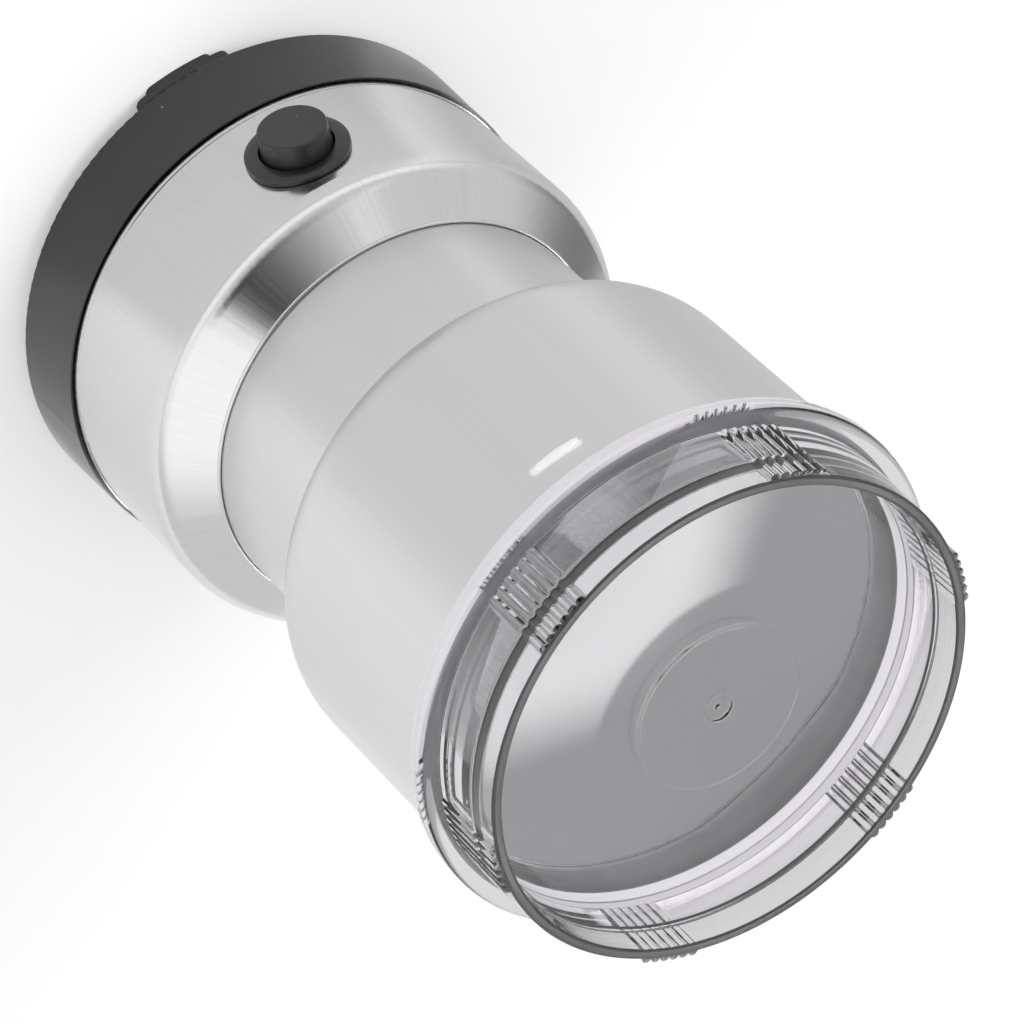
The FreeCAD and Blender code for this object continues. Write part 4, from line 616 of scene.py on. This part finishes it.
def rounded(points: Sequence[tuple[float, float, float]], steps: int = 6, support: float = 0.06 * MM
            ) -> list[tuple[float, float]]:
    """Round the corners of a closed outline.

    Args:
        points: radius and height of each corner, and the radius that rounds it, 0 for a sharp one.
        steps: how many short runs make up one round corner.
        support: how far beyond a round corner a point keeps the flat beside it shaded flat.

    Returns:
        The outline's points in order.
    """
    made = []
    for index, (x, y, bend) in enumerate(points):
        here = Vector((x, y))
        before = Vector(points[index - 1][:2]) - here
        after = Vector(points[(index + 1) % len(points)][:2]) - here
        if bend <= 0.0:
            made.append((x, y))
            continue
        half = before.angle(after) / 2.0
        reach = min(bend / math.tan(half), 0.49 * before.length, 0.49 * after.length)
        radius = reach * math.tan(half)
        middle = here + (before.normalized() + after.normalized()).normalized() * (radius / math.sin(half))
        first = here + before.normalized() * reach - middle
        last = here + after.normalized() * reach - middle
        turn = first.angle_signed(last)
        made.append(tuple(here + before.normalized() * min(reach + support, 0.495 * before.length)))
        for step in range(steps + 1):
            spoke = Matrix.Rotation(-turn * step / steps, 2) @ first
            made.append(tuple(middle + spoke))
        made.append(tuple(here + after.normalized() * min(reach + support, 0.495 * after.length)))
    return made


# The object


@dataclass
class Grinder:
    """What the sub-assemblies share: the axis and the finishes."""

    finishes: Finishes

    @staticmethod
    def axis_y() -> float:
        """How far behind the row's origin the grinder's axis stands, read from the round bowl."""
        low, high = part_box("grinding_bowl")
        return (low.y + high.y) / 2.0


@dataclass
class LidPiece(Grinder):
    """The clear lid: skirt, flange, wall, recessed panel and its groups of grip ribs."""

    wall: float = 1.6 * MM
    flange_round: float = 0.5 * MM
    flange_crown: float = 3.2 * MM
    rim_width: float = 1.9 * MM
    rim_round: float = 0.55 * MM
    corner_round: float = 0.25 * MM
    wall_draft: float = 0.6 * MM
    foot_radius: float = 48.3 * MM
    flange_height: float = 3.6 * MM
    panel_depth: float = 5.4 * MM
    panel_thickness: float = 2.2 * MM
    recess_draft: float = 0.05 * MM
    skirt_radius: float = 46.3 * MM
    skirt_height: float = 8.0 * MM
    dome_radius: float = 23.0 * MM
    dome_fall: float = 0.65 * MM
    dome_round: float = 130.0 * MM
    shallow_round: float = 0.45 * MM
    disc_radius: float = 16.6 * MM
    disc_rise: float = 0.26 * MM
    disc_edge: float = 0.7 * MM
    gate_radius: float = 2.75 * MM
    gate_depth: float = 0.3 * MM
    nub_radius: float = 0.9 * MM
    # a thin dark ring inside the moulding: a dark sheet standing in for painted shade
    shade_ring_radius: float = 45.2 * MM
    shade_ring_width: float = 0.12 * MM
    shade_ring_height: float = 1.5 * MM
    rib_groups: int = 6
    rib_count: int = 6
    rib_pitch: float = math.radians(2.35)
    rib_turn: float = math.radians(4.0)
    rib_radius: float = 0.92 * MM
    rib_rise: float = 0.45 * MM
    rib_end: float = 0.5 * MM
    steps_per_rib: int = 12
    plain_steps: int = 64

    def __post_init__(self) -> None:
        """Read the lid's levels and reach from the frame."""
        low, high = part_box("lid")
        self.flange_radius = (high.x - low.x) / 2.0
        self.top = high.z
        self.bottom = low.z
        self.seat = self.bottom + self.skirt_height
        self.flange_top = self.seat + self.flange_height

    def outline(self) -> list[tuple[float, float]]:
        """Return the lid's section as radius and height, from the skirt's foot round to the panel."""
        rim = self.foot_radius - self.wall_draft
        recess = rim - self.rim_width
        floor = recess - self.recess_draft
        panel = self.top - self.panel_depth
        disc = panel + self.dome_fall / 2.0 + self.disc_rise
        gate = disc - self.gate_depth
        under = panel - self.panel_thickness
        soft = self.corner_round
        shallow = self.shallow_round
        return rounded([
            (self.skirt_radius - self.wall, self.bottom, soft),
            (self.skirt_radius, self.bottom, soft),
            (self.skirt_radius, self.seat, soft),
            (self.flange_radius, self.seat, self.flange_round),
            (self.flange_radius, self.flange_top, self.flange_crown),
            (self.foot_radius, self.flange_top, soft),
            (rim, self.top, self.rim_round),
            (recess, self.top, self.rim_round),
            (floor, panel - self.dome_fall / 2.0, soft),
            (self.dome_radius, panel + self.dome_fall / 2.0, self.dome_round),
            (self.disc_radius, panel + self.dome_fall / 2.0, shallow),
            (self.disc_radius - self.disc_edge, disc, shallow),
            (self.gate_radius, disc, shallow),
            (self.gate_radius - self.gate_depth, gate, shallow),
            (self.nub_radius, gate, shallow),
            (self.nub_radius * 0.5, disc, shallow),
            (0.0, disc, 0.0),
            (0.0, under, 0.0),
            (self.skirt_radius, under, 2.0 * soft),
        ])

    def columns(self) -> list[float]:
        """Return the angles of the mesh's columns, close together where the ribs are."""
        angles = []
        group_half = self.rib_pitch * self.rib_count / 2.0
        sector = 2.0 * math.pi / self.rib_groups
        for group in range(self.rib_groups):
            middle = self.rib_turn + sector * group
            fine = self.rib_count * self.steps_per_rib
            for step in range(fine):
                angles.append(middle - group_half + 2.0 * group_half * step / fine)
            plain = sector - 2.0 * group_half
            for step in range(self.plain_steps):
                angles.append(middle + group_half + plain * step / self.plain_steps)
        return angles

    def rib_lift(self, angle: float, radius: float) -> float:
        """Return how far the wall stands out at an angle, where a rib rises from it."""
        sector = 2.0 * math.pi / self.rib_groups
        local = (angle - self.rib_turn + sector / 2.0) % sector - sector / 2.0
        first = -self.rib_pitch * (self.rib_count - 1) / 2.0
        nearest = round((local - first) / self.rib_pitch)
        if not 0 <= nearest < self.rib_count:
            return 0.0
        ring = self.foot_radius + self.rib_rise - self.rib_radius
        aside = ring * math.sin(local - first - nearest * self.rib_pitch)
        if abs(aside) >= self.rib_radius:
            return 0.0
        return max(0.0, ring + math.sqrt(self.rib_radius ** 2 - aside ** 2) - radius)

    def build(self) -> bpy.types.Object:
        """Return the lid as one closed mesh that rides on the lid body."""
        outline = self.outline()
        angles = self.columns()
        axis = self.axis_y()
        mesh = bmesh.new()
        rings = []
        rim = self.foot_radius - self.wall_draft
        for radius, height in outline:
            if radius <= 0.0:
                rings.append([mesh.verts.new((0.0, axis, height))])
                continue
            on_wall = height >= self.flange_top - MM and radius > rim - 0.5 * MM
            ring = []
            for angle in angles:
                lift = 0.0
                if on_wall and height <= self.top - self.rib_end and radius <= self.foot_radius + 1e-6:
                    lift = self.rib_lift(angle, radius)
                reach = radius + lift
                ring.append(mesh.verts.new((reach * math.cos(angle), axis + reach * math.sin(angle), height)))
            rings.append(ring)
        for index, ring in enumerate(rings):
            other = rings[(index + 1) % len(rings)]
            join_rings(mesh, ring, other)
        bmesh.ops.recalc_face_normals(mesh, faces=mesh.faces)
        return finish_mesh(mesh, "clear_lid", self.finishes[Slot.CLEAR_PLASTIC], Rides.LID,
                           ("lid",))

    def build_shade_ring(self) -> bpy.types.Object:
        """Return the thin dark ring inside the moulding where the panel meets the wall: a dark sheet that stands in
        for the shade of the rim's dark band, not a real part of the lid.
        """
        low = self.top - self.panel_depth - self.panel_thickness + 0.1 * MM
        inner = self.shade_ring_radius - self.shade_ring_width
        outline = [(inner, low), (self.shade_ring_radius, low), (self.shade_ring_radius, low + self.shade_ring_height),
                   (inner, low + self.shade_ring_height)]
        return turned(outline, "lid_shade_ring", self.finishes.weld, Rides.LID)


def join_rings(mesh: bmesh.types.BMesh, ring: list, other: list) -> None:
    """Face the band between two rings of points, either of which may be a single point."""
    count = max(len(ring), len(other))
    if count == 1:
        return
    for step in range(count):
        after = (step + 1) % count
        if len(ring) == 1:
            mesh.faces.new((ring[0], other[after], other[step]))
        elif len(other) == 1:
            mesh.faces.new((ring[step], ring[after], other[0]))
        else:
            mesh.faces.new((ring[step], ring[after], other[after], other[step]))


def turned(outline: Sequence[tuple[float, float]], name: str, finish: bpy.types.Material, body: Rides,
           steps: int = 360) -> bpy.types.Object:
    """Turn a closed outline about the grinder's axis.

    Args:
        outline: radius and height of each corner.
        name: the piece's name.
        finish: its material.
        body: the body that it rides on.
        steps: how many columns go round.

    Returns:
        The piece.
    """
    mesh = bmesh.new()
    axis = Grinder.axis_y()
    angles = [2.0 * math.pi * step / steps for step in range(steps)]
    rings = [[mesh.verts.new((radius * math.cos(angle), axis + radius * math.sin(angle), height))
              for angle in angles] for radius, height in outline]
    for index, ring in enumerate(rings):
        join_rings(mesh, ring, rings[(index + 1) % len(rings)])
    bmesh.ops.recalc_face_normals(mesh, faces=mesh.faces)
    return finish_mesh(mesh, name, finish, body)


def finish_mesh(mesh: bmesh.types.BMesh, name: str, finish: bpy.types.Material, body: Rides,
                nodes: Iterable[str] = ()) -> bpy.types.Object:
    """Turn a bmesh into a piece of the object.

    Args:
        mesh: the geometry, in the row frame.
        name: the piece's name.
        finish: its material.
        body: the body that it rides on.
        nodes: the nodes of the frame that it stands for.

    Returns:
        The piece.
    """
    data = bpy.data.meshes.new(name)
    mesh.to_mesh(data)
    mesh.free()
    for polygon in data.polygons:
        polygon.use_smooth = True
    data.materials.append(finish)
    piece = bpy.data.objects.new(name, data)
    bpy.context.scene.collection.objects.link(piece)
    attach(piece, body.value)
    if nodes:
        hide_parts(*nodes)
    return piece


@dataclass
class ShellLip(Grinder):
    """The rolled lip of the lower shell where the waist comes out of it."""

    waist_radius: float = 39.65 * MM
    level: float = 59.4 * MM
    bead: float = 0.32 * MM
    bead_steps: int = 12

    def build(self) -> bpy.types.Object:
        """Return the lip."""
        centre = self.waist_radius + self.bead * 0.6
        outline = []
        for step in range(self.bead_steps):
            angle = 2.0 * math.pi * step / self.bead_steps
            outline.append((centre + self.bead * math.cos(angle), self.level + self.bead * math.sin(angle)))
        return turned(outline, "shell_lip", self.finishes[Slot.BRUSHED_STEEL], Rides.HOUSING)


@dataclass
class DressedNodes(Grinder):
    """The nodes of the frame whose shape stays, each with its finish."""

    def build(self) -> list[bpy.types.Object]:
        """Dress each node that shows and return them."""
        made = []
        for name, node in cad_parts.items():
            slot = Slot(node.data.materials[0].name.split(".")[0])
            made.append(dress(name, self.finishes.by_node.get(name, self.finishes[slot])))
        return made


def heading(bearing: float, rise: float) -> Vector:
    """Return the unit vector of a bearing from +X and a rise above the horizon, both in degrees."""
    turn, lift = math.radians(bearing), math.radians(rise)
    return Vector((math.cos(lift) * math.cos(turn), math.cos(lift) * math.sin(turn), math.sin(lift)))


@dataclass(frozen=True)
class Patch:
    """A round bright or dark patch of the surroundings, met only by reflected rays."""

    bearing: float
    rise: float
    inner: float
    outer: float
    level: float

    def over(self, graph: Graph, way: Link, below: Link | float) -> Link:
        """Lay the patch over the surroundings.

        Args:
            graph: the world's graph.
            way: the ray's direction.
            below: the level without the patch.

        Returns:
            The level with it.
        """
        near = graph.add("ShaderNodeVectorMath", {0: way, 1: heading(self.bearing, self.rise)},
                         operation="DOT_PRODUCT").outputs["Value"]
        share = graph.remap(near, math.cos(math.radians(self.outer)), math.cos(math.radians(self.inner)))
        return graph.mix(share, below, self.level)


@dataclass
class Studio:
    """The pale floor, the soft lamps, the surroundings and the camera."""

    turn: float = math.radians(24.7)
    rise: float = math.radians(44.909)
    roll: float = math.radians(133.473)
    sway: float = -0.0053
    nod: float = -0.0051
    distance: float = 0.95265
    target_height: float = 0.0857
    lens: float = 186.23
    floor_half: float = 6.0
    floor_colour: Colour = (0.80, 0.80, 0.80)
    floor_glow: float = 0.38
    dim_glow: float = 0.15
    far_glow: float = 0.07
    through_glow: float = 0.04
    seen_glow: float = 0.35
    room_level: float = 0.55
    wall_level: float = 0.83
    strip_level: float = 1.25
    dark_level: float = 0.02
    dark_rise: float = 1.35
    through_level: float = 0.79
    patches: tuple[Patch, ...] = (
        Patch(-4.0, 48.0, 20.0, 46.0, 1.38),
        Patch(152.0, -4.0, 8.0, 40.0, 0.25),
        Patch(115.0, 56.0, 10.3, 12.3, 7.0),
    )
    inner_level: float = 0.88
    bowl_level: float = 1.05
    inner_patches: tuple[Patch, ...] = (
        Patch(115.0, 40.0, 20.0, 60.0, 0.95),
        Patch(-65.0, 78.0, 8.0, 30.0, 0.55),
    )

    def target(self) -> Vector:
        """Return the point that the camera looks at."""
        return Vector((0.0, Grinder.axis_y(), self.target_height))

    def camera(self) -> None:
        """Place the camera at the photograph's viewing angle."""
        data = bpy.data.cameras.new("camera")
        data.lens = self.lens
        data.clip_start = 0.05
        data.clip_end = 50.0
        camera = bpy.data.objects.new("camera", data)
        bpy.context.scene.collection.objects.link(camera)
        aim = Matrix.Rotation(self.turn, 4, "Z") @ Matrix.Rotation(math.pi / 2.0 - self.rise, 4, "X")
        tilt = Matrix.Rotation(self.roll, 4, "Z") @ Matrix.Rotation(self.sway, 4, "Y")
        tilt = tilt @ Matrix.Rotation(self.nod, 4, "X")
        back = aim @ Vector((0.0, 0.0, self.distance))
        camera.matrix_world = Matrix.Translation(self.target() + back) @ aim @ tilt
        bpy.context.scene.camera = camera

    def floor(self) -> None:
        """Lay the pale floor that holds the soft shadow and shows in the steel."""
        mesh = bmesh.new()
        corners = [mesh.verts.new((x * self.floor_half, y * self.floor_half, 0.0))
                   for x, y in ((-1, -1), (1, -1), (1, 1), (-1, 1))]
        mesh.faces.new(corners)
        data = bpy.data.meshes.new("studio_floor")
        mesh.to_mesh(data)
        mesh.free()
        material = bpy.data.materials.new("studio_floor")
        material.use_nodes = True
        material.node_tree.nodes.clear()
        graph = Graph(material.node_tree)
        rays = graph.add("ShaderNodeLightPath")
        dim = graph.group("sector", {"Vector": graph.place(), "First": math.radians(-133.0),
                                     "Last": math.radians(-29.0), "Edge": 0.10}).outputs["Share"]
        far = graph.group("sector", {"Vector": graph.place(), "First": math.radians(100.0),
                                     "Last": math.radians(212.0), "Edge": 0.25}).outputs["Share"]
        mirrored = graph.mix(far, graph.mix(dim, self.floor_glow, self.dim_glow), self.far_glow)
        glow = graph.math("MULTIPLY", rays.outputs["Is Glossy Ray"], mirrored)
        glow = graph.mix(rays.outputs["Is Transmission Ray"], glow, self.through_glow)
        glow = graph.mix(rays.outputs["Is Camera Ray"], glow, self.seen_glow)
        matt = graph.add("ShaderNodeBsdfDiffuse", {"Color": (*self.floor_colour, 1.0)})
        lit = graph.add("ShaderNodeEmission", {"Color": (1.0, 1.0, 1.0, 1.0), "Strength": glow})
        both = graph.add("ShaderNodeAddShader", {0: matt.outputs[0], 1: lit.outputs[0]})
        graph.add("ShaderNodeOutputMaterial", {"Surface": both.outputs[0]})
        data.materials.append(material)
        floor = bpy.data.objects.new("studio_floor", data)
        bpy.context.scene.collection.objects.link(floor)
        floor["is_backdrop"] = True

    def mirrored_room(self, graph: Graph, way: Link) -> Link:
        """Return how bright the room is where the steel mirrors it: pale walls, a lamp, a dark side."""
        level = self.wall_level
        for patch in self.patches:
            level = patch.over(graph, way, level)
        parts = graph.add("ShaderNodeSeparateXYZ", {0: way})
        towards = graph.add("ShaderNodeVectorMath", {0: graph.vector(parts.outputs["X"], parts.outputs["Y"], 0.0)},
                            operation="NORMALIZE").outputs[0]
        side = graph.group("sector", {"Vector": way, "First": math.radians(-150.0),
                                      "Last": math.radians(5.0), "Edge": 0.30}).outputs["Share"]
        rise = parts.outputs["Z"]
        strip = graph.math("MULTIPLY", graph.remap(rise, -0.02, 0.08), graph.remap(rise, 0.40, 0.26))
        level = graph.mix(graph.math("MULTIPLY", side, strip), level, self.strip_level)
        along = graph.add("ShaderNodeVectorMath", {0: towards, 1: heading(-46.0, 0.0)},
                          operation="DOT_PRODUCT").outputs["Value"]
        dark = graph.math("MULTIPLY_ADD", graph.math("SUBTRACT", 1.0, along), self.dark_rise, self.dark_level)
        share = graph.group("sector", {"Vector": way, "First": math.radians(-131.0),
                                       "Last": math.radians(-40.0), "Edge": 0.03}).outputs["Share"]
        high = graph.remap(parts.outputs["Z"], math.sin(math.radians(25.0)), math.sin(math.radians(48.0)))
        return graph.mix(graph.math("MULTIPLY", share, high), level, dark)

    def world(self) -> None:
        """Surround the object: plain white to the camera, plain light on the matt, a room in mirrors."""
        world = bpy.data.worlds.new("studio")
        world.use_nodes = True
        world.node_tree.nodes.clear()
        graph = Graph(world.node_tree)
        rays = graph.add("ShaderNodeLightPath")
        way = graph.add("ShaderNodeTexCoord").outputs["Generated"]
        inner = self.inner_level
        for patch in self.inner_patches:
            inner = patch.over(graph, way, inner)
        mirrored = graph.math("MINIMUM", rays.outputs["Glossy Depth"], 1.0)
        through = graph.mix(mirrored, self.through_level, inner)
        scattered = graph.math("MINIMUM", rays.outputs["Diffuse Depth"], 1.0)
        through = graph.mix(scattered, through, self.bowl_level)
        level = graph.mix(rays.outputs["Is Glossy Ray"], self.room_level, self.mirrored_room(graph, way))
        level = graph.mix(rays.outputs["Is Transmission Ray"], level, through)
        level = graph.mix(rays.outputs["Is Camera Ray"], level, 1.0)
        room = graph.add("ShaderNodeBackground", {"Color": (1.0, 1.0, 1.0, 1.0), "Strength": level})
        graph.add("ShaderNodeOutputWorld", {"Surface": room.outputs[0]})
        bpy.context.scene.world = world

    def lamp(self, name: str, place: Colour, size: float, power: float) -> None:
        """Hang one soft square lamp that faces the object."""
        data = bpy.data.lights.new(name, "AREA")
        data.shape = "SQUARE"
        data.size = size
        data.energy = power
        lamp = bpy.data.objects.new(name, data)
        lamp.location = place
        lamp.rotation_mode = "QUATERNION"
        lamp.rotation_quaternion = (Vector(place) - self.target()).to_track_quat("Z", "Y")
        lamp.visible_glossy = False
        lamp.visible_transmission = False
        bpy.context.scene.collection.objects.link(lamp)

    def build(self) -> None:
        """Set up the whole studio."""
        self.camera()
        self.floor()
        self.world()
        self.lamp("key_lamp", (-0.9, -0.7, 1.2), 0.9, 9.0)
        self.lamp("fill_lamp", (1.1, 0.3, 0.9), 0.9, 5.0)
        bpy.context.scene.view_settings.view_transform = "Standard"


def corners() -> list[list[float]]:
    """Return the shown object's lowest and highest corner as plain numbers."""
    return [list(corner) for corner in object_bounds()]


def main() -> None:
    """Build and dress every sub-assembly, then set up the studio."""
    logging.basicConfig(level=logging.INFO, format="%(name)s: %(message)s")
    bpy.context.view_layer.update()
    finishes = Finishes()
    for piece in DressedNodes(finishes).build():
        LOG.info("dressed %s", piece.name)
    lid = LidPiece(finishes)
    for piece in (lid.build(), lid.build_shade_ring(), ShellLip(finishes).build()):
        LOG.info("built %s", piece.name)
    Studio().build()


if __name__ == "__main__":
    main()
